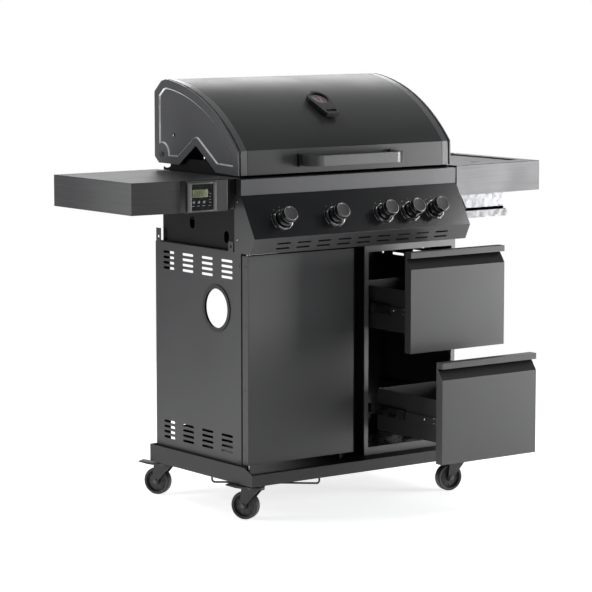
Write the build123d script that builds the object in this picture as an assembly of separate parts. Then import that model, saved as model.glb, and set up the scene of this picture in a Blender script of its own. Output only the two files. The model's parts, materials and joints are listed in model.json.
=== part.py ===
from build123d import *
import math
import os

# Gas barbecue grill: cabinet on casters, four-burner firebox with a hinged lid, side tables.
#
# Millimetres, +Z up, front facing -Y, floor at Z = 0.  The two drawers stand open by the
# amounts TOP_OPEN and BOTTOM_OPEN.  Shapes are drawn in the cabinet's frame, where Y = 0 is
# the front edge of the side panels, and every part is shifted once, on export, so that the
# part's origin lies at the middle of its footprint.

# Driving dimensions -------------------------------------------------------------
SHEET = 1.5                 # cabinet sheet thickness
CABINET_HALF = 362.0        # half width over the side panels
CABINET_DEPTH = 400.0
PANEL_TOP = 701.0
BASE_HALF = 375.0
BASE_FRONT = -66.0
BASE_REAR = 414.0
BASE_LOW = 93.0
BASE_HIGH = 140.0
APRON_HIGH = 124.0
FLOOR_TOP = 122.0

FRONT_FACE = -28.7          # face plane of the door and of the closed drawers
FRONT_THICK = 25.0
TOP_OPEN = 181.0            # how far each drawer stands open
BOTTOM_OPEN = 313.0

DOOR_LEFT = -360.6
DOOR_RIGHT = -12.6
DOOR_LOW = 143.0
DOOR_HIGH = 694.0
DOOR_PIVOT_X = -351.0
DOOR_PIVOT_Y = -16.7
PIN_RADIUS = 4.0
RUNNING_FIT = 0.06          # radial clearance of pins in their holes

BAY_LEFT = 44.7             # drawer bay, left face of its front frame
BAY_STILE = 13.3
DRAWER_LEFT = 37.0
DRAWER_RIGHT = 362.0
BOX_DEPTH = 285.0
BAY_DEPTH = 316.0           # front face of the sheet behind the drawers
BOX_GAP = 12.5              # from the frame's opening to the drawer box, for the rails
TOP_DRAWER = {"face_low": 425.4, "face_high": 648.7, "lip_low": 678.0, "lip_high": 694.0,
              "box_low": 470.0, "box_high": 585.0}
BOTTOM_DRAWER = {"face_low": 147.3, "face_high": 370.6, "lip_low": 399.9, "lip_high": 415.9,
                 "box_low": 194.5, "box_high": 308.5}
RAIL_LENGTH = 300.0

TRIM_LOW = 850.0
TRIM_HIGH = 891.7
TRIM_FACE = -2.4
CREASE_Y = -64.0            # fold line across the control panel
CREASE_Z = 740.0
PANEL_FOOT_Y = -44.0
PANEL_FOOT_Z = 699.6

FIREBOX_HALF = 345.0
FIREBOX_FRONT = 20.0
FIREBOX_REAR = 350.0
FIREBOX_TAIL = 388.0        # rear edge of its side plates
AIR_HOLES = ((248.0, 760.8), (89.0, 734.7))
FIREBOX_TOP = 893.0
FIREBOX_FLOOR = 735.0

BURNER_X = (-255.0, -85.0, 85.0, 255.0)
KNOB_X = (-254.0, -82.0, 83.0, 176.0, 258.0)
KNOB_UP = 51.6              # knob axis above the crease, along the panel
BEZEL_RADIUS = 29.5
KNOB_TALL = 41.0

LID_HALF = 359.5
LID_FRONT = 16.0
LID_LOW = 899.7
LID_CREASE = 964.0
LID_TOP = 1141.0
LID_REAR = 405.0
LID_RADIUS = 487.0          # of the arc from the front crease to the crown
LID_PIVOT_Y = 369.7
LID_PIVOT_Z = 938.3
LID_SHEET = 2.0
CAP_STRIP = 30.0            # width of the end castings seen from the front
GAUGE_Y = 148.0
GAUGE_DIAL = 24.5

TABLE_INNER = 364.0
TABLE_OUTER_FRONT = 688.0
TABLE_OUTER_REAR = 692.0
TABLE_FRONT = -4.6
TABLE_SWEEP = 22.6          # how far the outer front corner lies behind the inner one
TABLE_REAR = 384.0
TABLE_LOW = 813.9
TABLE_HIGH = 896.8

BURNER_CENTRE_X = 528.0     # side burner
BURNER_HALF = 128.0
BURNER_FRONT = 72.0
BURNER_REAR = 360.0

WHEEL_RADIUS = 37.5
WHEEL_WIDTH = 24.0
CASTER_TRAIL = 29.0
CASTERS = {"front_left": (-345.0, -40.0, 120.0), "front_right": (345.0, -40.0, 169.0),
           "rear_left": (-342.0, 378.0, 122.0), "rear_right": (342.0, 378.0, 68.0)}
BRAKED = ("front_left", "rear_left")
KING_PIN_TOP = 118.0
PEDAL_PIVOT = (29.0, 84.0)  # along the trail, and height
PEDAL_REACH = 82.0
PEDAL_HALF = 14.0

REAR_CASTER = CASTERS["rear_left"]
REAR_SWING = math.radians(REAR_CASTER[2])
REAR_MOST = (REAR_CASTER[1] + PEDAL_REACH * math.sin(REAR_SWING)
             + PEDAL_HALF * abs(math.cos(REAR_SWING)))
ORIGIN_Y = (FRONT_FACE - BOTTOM_OPEN + REAR_MOST) / 2.0
os.makedirs("parts", exist_ok=True)


# Helpers ------------------------------------------------------------------------
def slab(x0, x1, y0, y1, z0, z1):
    """A box given by its two corners."""
    centre = Pos((x0 + x1) / 2.0, (y0 + y1) / 2.0, (z0 + z1) / 2.0)
    return centre * Box(abs(x1 - x0), abs(y1 - y0), abs(z1 - z0))


def rod(start, end, radius):
    """A straight round bar between two points."""
    axis = Vector(*end) - Vector(*start)
    return extrude(Plane(origin=start, z_dir=axis) * Circle(radius), axis.length)


def side_face(points):
    """A flat face in the YZ plane from (y, z) points."""
    return make_face(Polyline(*[(0, y, z) for y, z in points], close=True))


def across(face, x0, x1):
    """Extrude a YZ face from x0 to x1."""
    return Pos(x0, 0, 0) * extrude(face, x1 - x0, dir=(1, 0, 0))


def bent_strip(points, thick):
    """Outline of a folded sheet: the points, and the same run offset by its thickness."""
    offset = []
    count = len(points)
    for index, point in enumerate(points):
        before = points[max(index - 1, 0)]
        after = points[min(index + 1, count - 1)]
        first = Vector(point[0] - before[0], point[1] - before[1])
        second = Vector(after[0] - point[0], after[1] - point[1])
        first = (first if first.length > 0 else second).normalized()
        second = (second if second.length > 0 else first).normalized()
        bisector = Vector(-first.Y - second.Y, first.X + second.X).normalized()
        reach = thick / bisector.dot(Vector(-first.Y, first.X))
        offset.append((point[0] + bisector.X * reach, point[1] + bisector.Y * reach))
    return list(points) + offset[::-1]


def write(node, shape):
    """Shift a finished sub-part to the part's origin and write its STEP file."""
    moved = Pos(0, -ORIGIN_Y, 0) * shape
    export_step(moved, f"parts/{node}.step")


# Base and cabinet ---------------------------------------------------------------
def base_tray():
    wall = 2.0
    side = side_face([(BASE_FRONT, BASE_LOW), (BASE_FRONT, APRON_HIGH), (-30, BASE_HIGH),
                      (BASE_REAR, BASE_HIGH), (BASE_REAR, BASE_LOW)])
    tray = across(side, -BASE_HALF, -BASE_HALF + wall)
    tray += across(side, BASE_HALF - wall, BASE_HALF)
    tray += slab(-BASE_HALF, BASE_HALF, BASE_FRONT, BASE_FRONT + wall, BASE_LOW, APRON_HIGH)
    tray += slab(-BASE_HALF, BASE_HALF, BASE_REAR - wall, BASE_REAR, BASE_LOW, BASE_HIGH)
    tray += slab(-BASE_HALF, BASE_HALF, BASE_FRONT, BASE_REAR, FLOOR_TOP - wall, FLOOR_TOP)
    for x, y, _ in CASTERS.values():
        edge = math.copysign(BASE_HALF, x)
        rim = BASE_FRONT if y < 0 else BASE_REAR
        tray += slab(edge, x - math.copysign(34, x), rim, y + math.copysign(34, -rim),
                     BASE_LOW, BASE_LOW + 3)
        tray += Pos(x, y, (BASE_LOW + FLOOR_TOP) / 2) * Cylinder(14, FLOOR_TOP - BASE_LOW)
        bore = KING_PIN_TOP + 0.5 - BASE_LOW + 1
        tray -= Pos(x, y, BASE_LOW - 1 + bore / 2) * Cylinder(6 + RUNNING_FIT, bore)
    return tray


def corner_brace_rod():
    """Bent rod tying the front apron to the left side plate, under the corner caster."""
    low = BASE_LOW - 15
    front = (-152.0, BASE_FRONT + 5)
    side = (-BASE_HALF + 5, 124.0)
    path = FilletPolyline((front[0], front[1], FLOOR_TOP - 2), (front[0], front[1], low),
                          (side[0], side[1], low), (side[0], side[1], FLOOR_TOP - 2), radius=8)
    profile = Plane(origin=(front[0], front[1], FLOOR_TOP - 2), z_dir=(0, 0, -1)) * Circle(2.6)
    return sweep(profile, path=path)


VENT_Y = [64.5 + 90.7 * column for column in range(4)]
VENT_ROWS = [674.7 - 14.4 * row for row in range(4)] + [210.5 - 14.3 * row for row in range(4)]
GROMMET_Y = 111.0
GROMMET_Z = 545.0
GROMMET_RADIUS = 57.5


def side_panel(side):
    """Left (-1) or right (+1) cabinet side, flanged front and rear, with vents and tabs."""
    outer = side * CABINET_HALF
    inner = outer - side * SHEET
    flange = outer - side * 20
    rear_flange = outer - side * 46
    panel = slab(outer, inner, 0, CABINET_DEPTH, FLOOR_TOP, PANEL_TOP)
    if side < 0:
        panel += slab(outer, flange, 0, SHEET, FLOOR_TOP, PANEL_TOP)
    panel += slab(outer, rear_flange, CABINET_DEPTH - SHEET, CABINET_DEPTH, FLOOR_TOP, PANEL_TOP)
    for y, tall in ((46.0, 26.0), (386.0, 36.0)):
        panel += slab(outer, inner, y - 11, y + 11, PANEL_TOP, PANEL_TOP + tall)
        panel -= Pos(outer, y, PANEL_TOP + 13) * Rot(0, 90, 0) * Cylinder(4, 10)
    slots = Sketch() + [Pos(y, z) * SlotOverall(51.5, 7) for y in VENT_Y for z in VENT_ROWS]
    panel -= Plane(origin=(outer - 5, 0, 0), x_dir=(0, 1, 0), z_dir=(1, 0, 0)) * extrude(slots, 10)
    if side < 0:
        panel -= Pos(outer, GROMMET_Y, GROMMET_Z) * Rot(0, 90, 0) * Cylinder(GROMMET_RADIUS, 10)
    return panel


def hose_grommet():
    """Rubber ring with a groove that grips the edge of the panel's hose hole."""
    inner = GROMMET_RADIUS - 5
    lip = GROMMET_RADIUS + 5
    web = GROMMET_RADIUS - 0.1
    half = SHEET / 2 + 0.05
    face = 2.6
    outline = [(inner, -half - face), (lip, -half - face), (lip, -half), (web, -half),
               (web, half), (lip, half), (lip, half + face), (inner, half + face)]
    ring = revolve(make_face(Polyline(*[(r, 0, h) for r, h in outline], close=True)), Axis.Z)
    return Pos(-CABINET_HALF + SHEET / 2, GROMMET_Y, GROMMET_Z) * Rot(0, 90, 0) * ring


def centre_divider():
    """Wall between the door bay and the drawer bay, folded into a dark finger channel."""
    wall = slab(BAY_LEFT, BAY_LEFT + SHEET, 1, CABINET_DEPTH - 2 * SHEET, FLOOR_TOP, PANEL_TOP)
    wall += slab(-38, BAY_LEFT, 38, 38 + SHEET, FLOOR_TOP, PANEL_TOP)
    wall += slab(-38, -38 + SHEET, 1, 38, FLOOR_TOP, PANEL_TOP)
    wall += slab(-38, -26, 1, 1 + SHEET, FLOOR_TOP, PANEL_TOP)
    return wall


def drawer_bay_frame():
    """Flanged front frame around the drawer opening."""
    front, depth = -3.0, 14.0
    right = CABINET_HALF - SHEET - 0.2
    frame = slab(BAY_LEFT, CABINET_HALF, front, front + 2.5, FLOOR_TOP, PANEL_TOP - 1.6)
    frame += slab(BAY_LEFT + SHEET, right, front + 2.5, front + depth, FLOOR_TOP, PANEL_TOP - 1.6)
    opening = (BAY_LEFT + BAY_STILE, CABINET_HALF - BAY_STILE)
    frame -= slab(opening[0], opening[1], front - 1, front + 2.5, 143, 677)
    frame -= slab(opening[0] - 1.5 * SHEET, opening[1] + 1.5 * SHEET, front + 2.5, front + depth + 1,
                  141, 679)
    return frame


def cabinet_back():
    """Sheet that closes the back of the drawer bay, with rails across the open door bay."""
    y0, y1 = CABINET_DEPTH - 2 * SHEET, CABINET_DEPTH - SHEET
    back = slab(BAY_LEFT + SHEET, CABINET_HALF - SHEET, BAY_DEPTH, BAY_DEPTH + SHEET, FLOOR_TOP, PANEL_TOP)
    back += slab(-285, BAY_LEFT + 20, y0, y1, FLOOR_TOP, 184)
    return back + slab(-CABINET_HALF + SHEET, BAY_LEFT + 20, y0, y1, PANEL_TOP - 29, PANEL_TOP)


def hinge_pins():
    """Door pivot pins, top and bottom, and the two lid bolts with heads and spacers."""
    x, y = DOOR_PIVOT_X, DOOR_PIVOT_Y
    pins = [rod((x, y, FLOOR_TOP), (x, y, DOOR_LOW + 14), PIN_RADIUS),
            rod((x, y, DOOR_HIGH - 14), (x, y, PANEL_FOOT_Z), PIN_RADIUS)]
    for side in (-1, 1):
        bolt = rod((side * FIREBOX_HALF, LID_PIVOT_Y, LID_PIVOT_Z),
                   (side * (LID_HALF + 0.5), LID_PIVOT_Y, LID_PIVOT_Z), 4)
        bolt += rod((side * FIREBOX_HALF, LID_PIVOT_Y, LID_PIVOT_Z),
                    (side * (LID_HALF - 4.4), LID_PIVOT_Y, LID_PIVOT_Z), 8)
        bolt += rod((side * (LID_HALF + 0.4), LID_PIVOT_Y, LID_PIVOT_Z),
                    (side * (LID_HALF + 4.5), LID_PIVOT_Y, LID_PIVOT_Z), 8)
        pins.append(bolt)
    return Compound(pins)


# Door and drawers ---------------------------------------------------------------
def door():
    """Folded pan with return flanges, hung on pins at its left edge."""
    rear = FRONT_FACE + FRONT_THICK
    pan = slab(DOOR_LEFT, DOOR_RIGHT, FRONT_FACE, rear, DOOR_LOW, DOOR_HIGH)
    pan = fillet(pan.edges().filter_by(Axis.Z).group_by(Axis.Y)[0], 1.2)
    pan -= slab(DOOR_LEFT + SHEET, DOOR_RIGHT - SHEET, FRONT_FACE + SHEET, rear - SHEET,
                DOOR_LOW + SHEET, DOOR_HIGH - SHEET)
    pan -= slab(DOOR_LEFT + 26, DOOR_RIGHT - 26, rear - 2 * SHEET, rear + 1, DOOR_LOW + 26, DOOR_HIGH - 26)
    for low, high in ((DOOR_LOW, DOOR_LOW + 14), (DOOR_HIGH - 14, DOOR_HIGH)):
        centre = Pos(DOOR_PIVOT_X, DOOR_PIVOT_Y, (low + high) / 2)
        pan += centre * Cylinder(PIN_RADIUS + 3, high - low)
        pan -= centre * Cylinder(PIN_RADIUS + RUNNING_FIT, high - low + 1)
    return pan


def drawer_front(sizes, opened):
    """Hollow folded front: flat face, slanted finger recess and hooked lip along the top."""
    face = FRONT_FACE - opened
    rear = face + FRONT_THICK
    low, high = sizes["face_low"], sizes["lip_high"]
    profile = [(rear, low), (face, low), (face, sizes["face_high"]), (face + 19, sizes["lip_low"] - 2.5),
               (face + 19, sizes["lip_low"]), (face, sizes["lip_low"]), (face, high), (rear, high)]
    shell = across(side_face(profile), DRAWER_LEFT, DRAWER_RIGHT)
    hollow = [(rear - SHEET, low + SHEET), (face + SHEET, low + SHEET),
              (face + SHEET, sizes["face_high"] - 1), (face + 19 + SHEET, sizes["lip_low"] - 4),
              (face + 19 + SHEET, sizes["lip_low"] + SHEET), (face + SHEET, sizes["lip_low"] + SHEET),
              (face + SHEET, high - SHEET), (rear - SHEET, high - SHEET)]
    shell -= across(side_face(hollow), DRAWER_LEFT + SHEET, DRAWER_RIGHT - SHEET)
    shell -= slab(DRAWER_LEFT + 60, DRAWER_RIGHT - 60, rear - 3, rear + 1,
                  sizes["box_low"] + 12, sizes["box_high"] - 12)
    return shell


def drawer_box(sizes, opened):
    """Open sheet box with the inner member of each slide riveted to its sides."""
    front = FRONT_FACE + FRONT_THICK - opened
    rear = BOX_DEPTH - opened
    left = BAY_LEFT + BAY_STILE + BOX_GAP
    right = CABINET_HALF - BAY_STILE - BOX_GAP
    low, high = sizes["box_low"], sizes["box_high"]
    box = slab(left, right, front, rear, low, high)
    box -= slab(left + SHEET, right - SHEET, front + SHEET, rear - SHEET, low + SHEET, high + 1)
    middle = (low + high) / 2
    slides = [slab(left, left - 3.0, front + 3, rear, middle - 9, middle + 9),
              slab(right, right + 3.0, front + 3, rear, middle - 9, middle + 9)]
    return Compound([box] + slides)


def channel(x, outward, y0, y1, middle, half, thick):
    """One C-section slide member, its back towards `outward`."""
    member = slab(x, x + outward * thick, y0, y1, middle - half, middle + half)
    for sign in (-1, 1):
        member += slab(x, x - outward * 2.6, y0, y1, middle + sign * half, middle + sign * (half - SHEET))
    return member


def middle_rails(sizes, opened):
    """Pair of middle slide members, which travel half as far as the drawer."""
    shift = opened / 2
    middle = (sizes["box_low"] + sizes["box_high"]) / 2
    left = BAY_LEFT + BAY_STILE + BOX_GAP - 6.2
    right = CABINET_HALF - BAY_STILE - BOX_GAP + 6.2
    return Compound([channel(left, -1, 5 - shift, 5 + RAIL_LENGTH - shift, middle, 12.5, SHEET),
                     channel(right, 1, 5 - shift, 5 + RAIL_LENGTH - shift, middle, 12.5, SHEET)])


def outer_rails():
    """Two pairs of fixed slide members, standing on brackets off the bay walls."""
    rails = []
    for sizes in (TOP_DRAWER, BOTTOM_DRAWER):
        middle = (sizes["box_low"] + sizes["box_high"]) / 2
        for outward, x, wall in ((-1, BAY_LEFT + BAY_STILE + BOX_GAP - 10.8, BAY_LEFT + SHEET),
                                 (1, CABINET_HALF - BAY_STILE - BOX_GAP + 10.8, CABINET_HALF - SHEET)):
            rail = channel(x, outward, 13, 13 + RAIL_LENGTH, middle, 16, SHEET)
            for y in (20, 270):
                rail += slab(x, wall, y, y + 30, middle - 10, middle + 10)
            rails.append(rail)
    return Compound(rails)


# Firebox, burners and control panel ---------------------------------------------
def firebox():
    """Sheet tub: side plates with lid notch flanges, front and rear walls, sloped floor."""
    top = FIREBOX_TOP
    tub = slab(-FIREBOX_HALF, -FIREBOX_HALF + 2, FIREBOX_FRONT, FIREBOX_TAIL, PANEL_TOP, top)
    tub += slab(FIREBOX_HALF - 2, FIREBOX_HALF, FIREBOX_FRONT, FIREBOX_TAIL, PANEL_TOP, top)
    for side in (-1, 1):
        ear = side_face([(60, top), (60, 908), (160, 930), (235, 930), (352, 930), (352, 952),
                         (384, 952), (384, top)])
        tub += across(ear, side * (FIREBOX_HALF - 2), side * FIREBOX_HALF)
        sweep = Cylinder(37.5, 12) - Cylinder(26, 12)
        sweep = Pos(side * FIREBOX_HALF, LID_PIVOT_Y, LID_PIVOT_Z) * Rot(0, 90, 0) * sweep
        tub -= sweep & slab(side * 335, side * 355, FIREBOX_REAR + 0.4, 400, 890, 936)
        for y, z in AIR_HOLES:
            tub -= across(Pos(0, y, z) * Rot(0, 90, 0) * SlotOverall(32, 22), side * FIREBOX_HALF - 5,
                          side * FIREBOX_HALF + 5)
        tub += slab(side * 136, side * FIREBOX_HALF, FIREBOX_REAR - 2, FIREBOX_REAR, PANEL_TOP, 745)
        tub += slab(side * (FIREBOX_HALF - 2), side * (CABINET_HALF - SHEET), FIREBOX_FRONT, 388,
                    PANEL_TOP, PANEL_TOP + 2)
    tub += slab(-FIREBOX_HALF, FIREBOX_HALF, FIREBOX_FRONT, FIREBOX_FRONT + 2, 745, top)
    tub += slab(-FIREBOX_HALF, FIREBOX_HALF, FIREBOX_REAR - 2, FIREBOX_REAR, 745, top)
    tub += slab(-320, 320, FIREBOX_REAR - 2, FIREBOX_REAR, top, 936)
    ramp = bent_strip([(-FIREBOX_HALF, 770), (-100, FIREBOX_FLOOR), (-100, FIREBOX_FLOOR - 8)], 2)
    for side in (1, -1):
        outline = make_face(Polyline(*[(side * x, 0, z) for x, z in ramp], close=True))
        tub += Pos(0, FIREBOX_FRONT, 0) * extrude(outline, FIREBOX_REAR - FIREBOX_FRONT, dir=(0, 1, 0))
    for sign_y in (FIREBOX_FRONT + 2, FIREBOX_REAR - 12):
        tub += slab(-FIREBOX_HALF, FIREBOX_HALF, sign_y, sign_y + 10, 856, 858)
    for x in BURNER_X:
        tub -= Pos(x, FIREBOX_FRONT, 782) * Rot(90, 0, 0) * Cylinder(13.5, 12)
    return tub


def front_trim():
    """Flat strip across the front of the firebox, with a top return and end returns."""
    trim = slab(-CABINET_HALF - 1, CABINET_HALF + 1, TRIM_FACE, TRIM_FACE + SHEET, TRIM_LOW, TRIM_HIGH)
    trim += slab(-CABINET_HALF - 1, CABINET_HALF + 1, TRIM_FACE, FIREBOX_FRONT, TRIM_HIGH - SHEET, TRIM_HIGH)
    for side in (-1, 1):
        trim += slab(side * (CABINET_HALF + 1), side * (CABINET_HALF - 1), TRIM_FACE, FIREBOX_FRONT,
                     TRIM_LOW, TRIM_HIGH)
    return trim


PANEL_SLOPE = math.hypot(TRIM_FACE - CREASE_Y, TRIM_LOW - CREASE_Z)
SLOPE_UP = ((TRIM_FACE - CREASE_Y) / PANEL_SLOPE, (TRIM_LOW - CREASE_Z) / PANEL_SLOPE)


def panel_plane(x):
    """Plane on the control panel's face at a knob's centre, Z pointing out of the face."""
    y = CREASE_Y + SLOPE_UP[0] * KNOB_UP
    z = CREASE_Z + SLOPE_UP[1] * KNOB_UP
    return Plane(origin=(x, y, z), x_dir=(1, 0, 0), z_dir=(0, -SLOPE_UP[1], SLOPE_UP[0]))


def control_panel():
    """One folded sheet: floor, vented foot and sloping face, closed by welded end plates."""
    run = [(-1.0, PANEL_FOOT_Z), (PANEL_FOOT_Y, PANEL_FOOT_Z), (CREASE_Y, CREASE_Z), (TRIM_FACE, TRIM_LOW)]
    outline = bent_strip(run[::-1], 2.0)
    panel = across(side_face(outline), -CABINET_HALF, CABINET_HALF)
    end = side_face([(27, PANEL_FOOT_Z), (PANEL_FOOT_Y, PANEL_FOOT_Z), (CREASE_Y, CREASE_Z),
                     (TRIM_FACE, TRIM_LOW), (27, TRIM_LOW)])
    panel += across(end, -CABINET_HALF - SHEET, -CABINET_HALF)
    panel += across(end, CABINET_HALF, CABINET_HALF + SHEET)
    for x in KNOB_X:
        panel -= panel_plane(x) * Cylinder(6, 20)
    fold = math.hypot(CREASE_Y - PANEL_FOOT_Y, CREASE_Z - PANEL_FOOT_Z)
    for row, share in enumerate((0.29, 0.62)):
        y = PANEL_FOOT_Y + (CREASE_Y - PANEL_FOOT_Y) * share
        z = PANEL_FOOT_Z + (CREASE_Z - PANEL_FOOT_Z) * share
        facing = Plane(origin=(0, y, z), x_dir=(1, 0, 0),
                       z_dir=(0, -(CREASE_Z - PANEL_FOOT_Z) / fold, (CREASE_Y - PANEL_FOOT_Y) / fold))
        slots = Sketch() + [Pos(-264 + 66.6 * column, 0) * SlotOverall(44, 5) for column in range(9)]
        panel -= facing * Pos(0, 0, -6) * extrude(slots, 12)
    return panel


def knob_bezels():
    """Five plated rings pressed onto the panel around the knob stems."""
    ring = Cylinder(BEZEL_RADIUS, 4, align=(Align.CENTER, Align.CENTER, Align.MIN))
    ring = chamfer(ring.edges().group_by(Axis.Z)[-1], 2.5)
    ring -= Cylinder(BEZEL_RADIUS - 7, 10)
    return Compound([panel_plane(x) * ring for x in KNOB_X])


def burner_knob(x):
    """Stepped knob: skirt, waist and cap, with a stem reaching into its valve."""
    outline = [(0, 5), (21.5, 5), (21.5, 12), (19.5, 14), (19.5, 24), (22, 27), (22, KNOB_TALL - 1.5),
               (20.5, KNOB_TALL), (0, KNOB_TALL)]
    body = revolve(make_face(Polyline(*[(r, 0, h) for r, h in outline], close=True)), Axis.Z)
    body += Pos(0, 0, -8) * Cylinder(4, 28)
    body += Pos(0, 16, KNOB_TALL - 0.25) * Box(2.4, 8, 1.1)
    return panel_plane(x) * body


def gas_manifold():
    """Gas pipe behind the panel with five valve bodies, each in line with its knob."""
    depth = 46
    axis = panel_plane(0) * Pos(0, 0, -depth)
    y, z = axis.position.Y, axis.position.Z
    pipe = rod((-300, y, z), (320, y, z), 9)
    for x in KNOB_X:
        valve = Pos(0, 0, -16 - (depth - 16) / 2) * Cylinder(11, depth - 16)
        valve += Pos(0, 0, -16 + 1) * Cylinder(9, 2)
        valve -= Pos(0, 0, -19) * Cylinder(4 + RUNNING_FIT, 12)
        pipe += panel_plane(x) * valve
    for x in BURNER_X:
        pipe += rod((x, y, 782), (x, FIREBOX_FRONT - 6, 782), 5)
        pipe += rod((x, y, z), (x, y, 787), 6)
    pipe += rod((-300, y, z), (-300, y, z - 42), 8)
    return pipe


def burner_tubes():
    """Four hollow burner tubes, closed at the rear, with a slot of ports along each side."""
    tubes = []
    for x in BURNER_X:
        tube = rod((x, FIREBOX_FRONT - 3, 782), (x, FIREBOX_REAR - 22, 782), 12.5)
        tube -= rod((x, FIREBOX_FRONT - 4, 782), (x, FIREBOX_REAR - 25, 782), 10.5)
        tube += slab(x - 8, x + 8, FIREBOX_REAR - 24, FIREBOX_REAR - 2, 780, 783)
        for side in (-1, 1):
            tube -= slab(x + side * 8, x + side * 14, 70, 300, 785, 787)
        tubes.append(tube)
    return Compound(tubes)


def flame_tamers():
    """Four folded roofs over the burners, resting on the firebox end ledges."""
    roofs = []
    for x in BURNER_X:
        run = bent_strip([(-52, 816), (-4, 840), (4, 840), (52, 816)], -SHEET)
        outline = make_face(Polyline(*[(x + dx, 0, z) for dx, z in run], close=True))
        length = FIREBOX_REAR - FIREBOX_FRONT - 6
        roof = Pos(0, FIREBOX_FRONT + 3, 0) * extrude(outline, length, dir=(0, 1, 0))
        for y in (FIREBOX_FRONT + 2, FIREBOX_REAR - 2 - 12):
            roof += slab(x - 20, x - 17, y, y + 12, 830, 834)
        roofs.append(roof)
    return Compound(roofs)


def cooking_grates():
    """Two cast grates side by side, resting on ledges at the front and the rear."""
    grates = []
    for left in (-340.0, 1.0):
        width = 339.0
        front, rear = FIREBOX_FRONT + 3, FIREBOX_REAR - 3
        grate = slab(left, left + width, front, front + 8, 858, 870)
        grate += slab(left, left + width, rear - 8, rear, 858, 870)
        count = 17
        pitch = (width - 8) / (count - 1)
        for index in range(count):
            x = left + pitch * index
            grate += slab(x, x + 8, front, rear, 860, 872)
        grate += slab(left, left + width, 180, 188, 860, 868)
        grates.append(grate)
    return Compound(grates)


def warming_rack():
    """Wire shelf hooked between two wire end frames, above the rear of the grates."""
    half, front, rear, top, foot = 318.0, 226.0, 322.0, 985.0, 883.0
    shelf = Part()
    for y in (front, (front + rear) / 2, rear):
        shelf += rod((-half + 4, y, top), (half - 4, y, top), 2.6)
    count = 25
    for index in range(count):
        x = (half - 12) * (2 * index / (count - 1) - 1)
        shelf += rod((x, front - 4, top + 3.4), (x, rear + 4, top + 3.4), 2)
    pieces = [shelf]
    for side in (-1, 1):
        x = side * half
        end = rod((x, front - 4, top + 1), (x, rear + 4, top + 1), 3.4)
        for y in (front, rear):
            end += rod((x, y, top), (x, y, foot - 4), 3)
        end += rod((x, front - 4, foot), (x, rear + 4, foot), 2.6)
        for y in (front + 20, rear - 20):
            end += rod((x, y, foot), (side * (FIREBOX_HALF - 2), y, foot), 2.2)
        pieces.append(end)
    return Compound(pieces)


def grease_tray():
    """Sliding drip tray under the firebox's floor slot, drawn out to the rear."""
    y0, y1, low, high = 45.0, 372.0, 703.0, 724.0
    tray = slab(-118, 118, y0, y1, low, high)
    tray -= slab(-118 + SHEET, 118 - SHEET, y0 + SHEET, y1 - SHEET, low + SHEET, high + 1)
    for side in (-1, 1):
        tray += slab(side * 118, side * 130, y0, y1, high - SHEET, high)
    tray += slab(-40, 40, y1 - SHEET, y1 + 16, high - 6, high - 4)
    return tray


def tray_runners():
    """Angle runners under the firebox that carry the grease tray."""
    runners = []
    for side in (-1, 1):
        runner = slab(side * 119, side * 134, FIREBOX_FRONT, FIREBOX_REAR, 719.5, 721)
        runner += slab(side * 132.5, side * 134, FIREBOX_FRONT, FIREBOX_REAR, 719.5, 741)
        runners.append(runner)
    return runners


# Lid ----------------------------------------------------------------------------
def lid_arc():
    """The long arc of the lid's front, from the crease above the band to the crown."""
    start = Vector(0, LID_FRONT + 2, LID_CREASE)
    crown = Vector(0, 350, LID_TOP - 1)
    chord = crown - start
    rise = LID_RADIUS - math.sqrt(LID_RADIUS ** 2 - (chord.length / 2) ** 2)
    outward = Vector(0, -chord.Z, chord.Y).normalized()
    return ThreePointArc(start, (start + crown) / 2 + outward * rise, crown)


def lid_profile(inset=0.0):
    """Closed side outline of the lid, as a YZ face, drawn in by `inset`."""
    arc = lid_arc()
    start, crown = arc @ 0, arc @ 1
    rear_top = Vector(0, 372, LID_TOP - 6)
    outline = [Line((0, LID_FRONT, LID_LOW), start), arc, Line(crown, rear_top),
               Line(rear_top, (0, LID_REAR, 1106)), Line((0, LID_REAR, 1106), (0, LID_REAR, 931)),
               Line((0, LID_REAR, 931), (0, 384, 913)), Line((0, 384, 913), (0, LID_FRONT, LID_LOW))]
    return offset(make_face(outline), -inset) if inset else make_face(outline)


def notch_face():
    """The peaked notch in the lower edge of each lid end."""
    return side_face([(108, LID_LOW - 12), (120, 906.5), (209, 969), (289, 914), (420, 914), (420, 880),
                      (108, 880)])


def lid_shell():
    """Curved lid skin between the two end castings, open underneath."""
    half = LID_HALF - CAP_STRIP - 0.8
    body = across(lid_profile(), -half, half)
    body -= across(lid_profile(LID_SHEET), -half - 1, half + 1)
    body -= slab(-half - 1, half + 1, LID_FRONT + 16, LID_REAR - 16, 890, 918)
    body -= slab(-half - 1, half + 1, LID_FRONT + 16, LID_REAR + 5, 880, 931)
    return body


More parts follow.
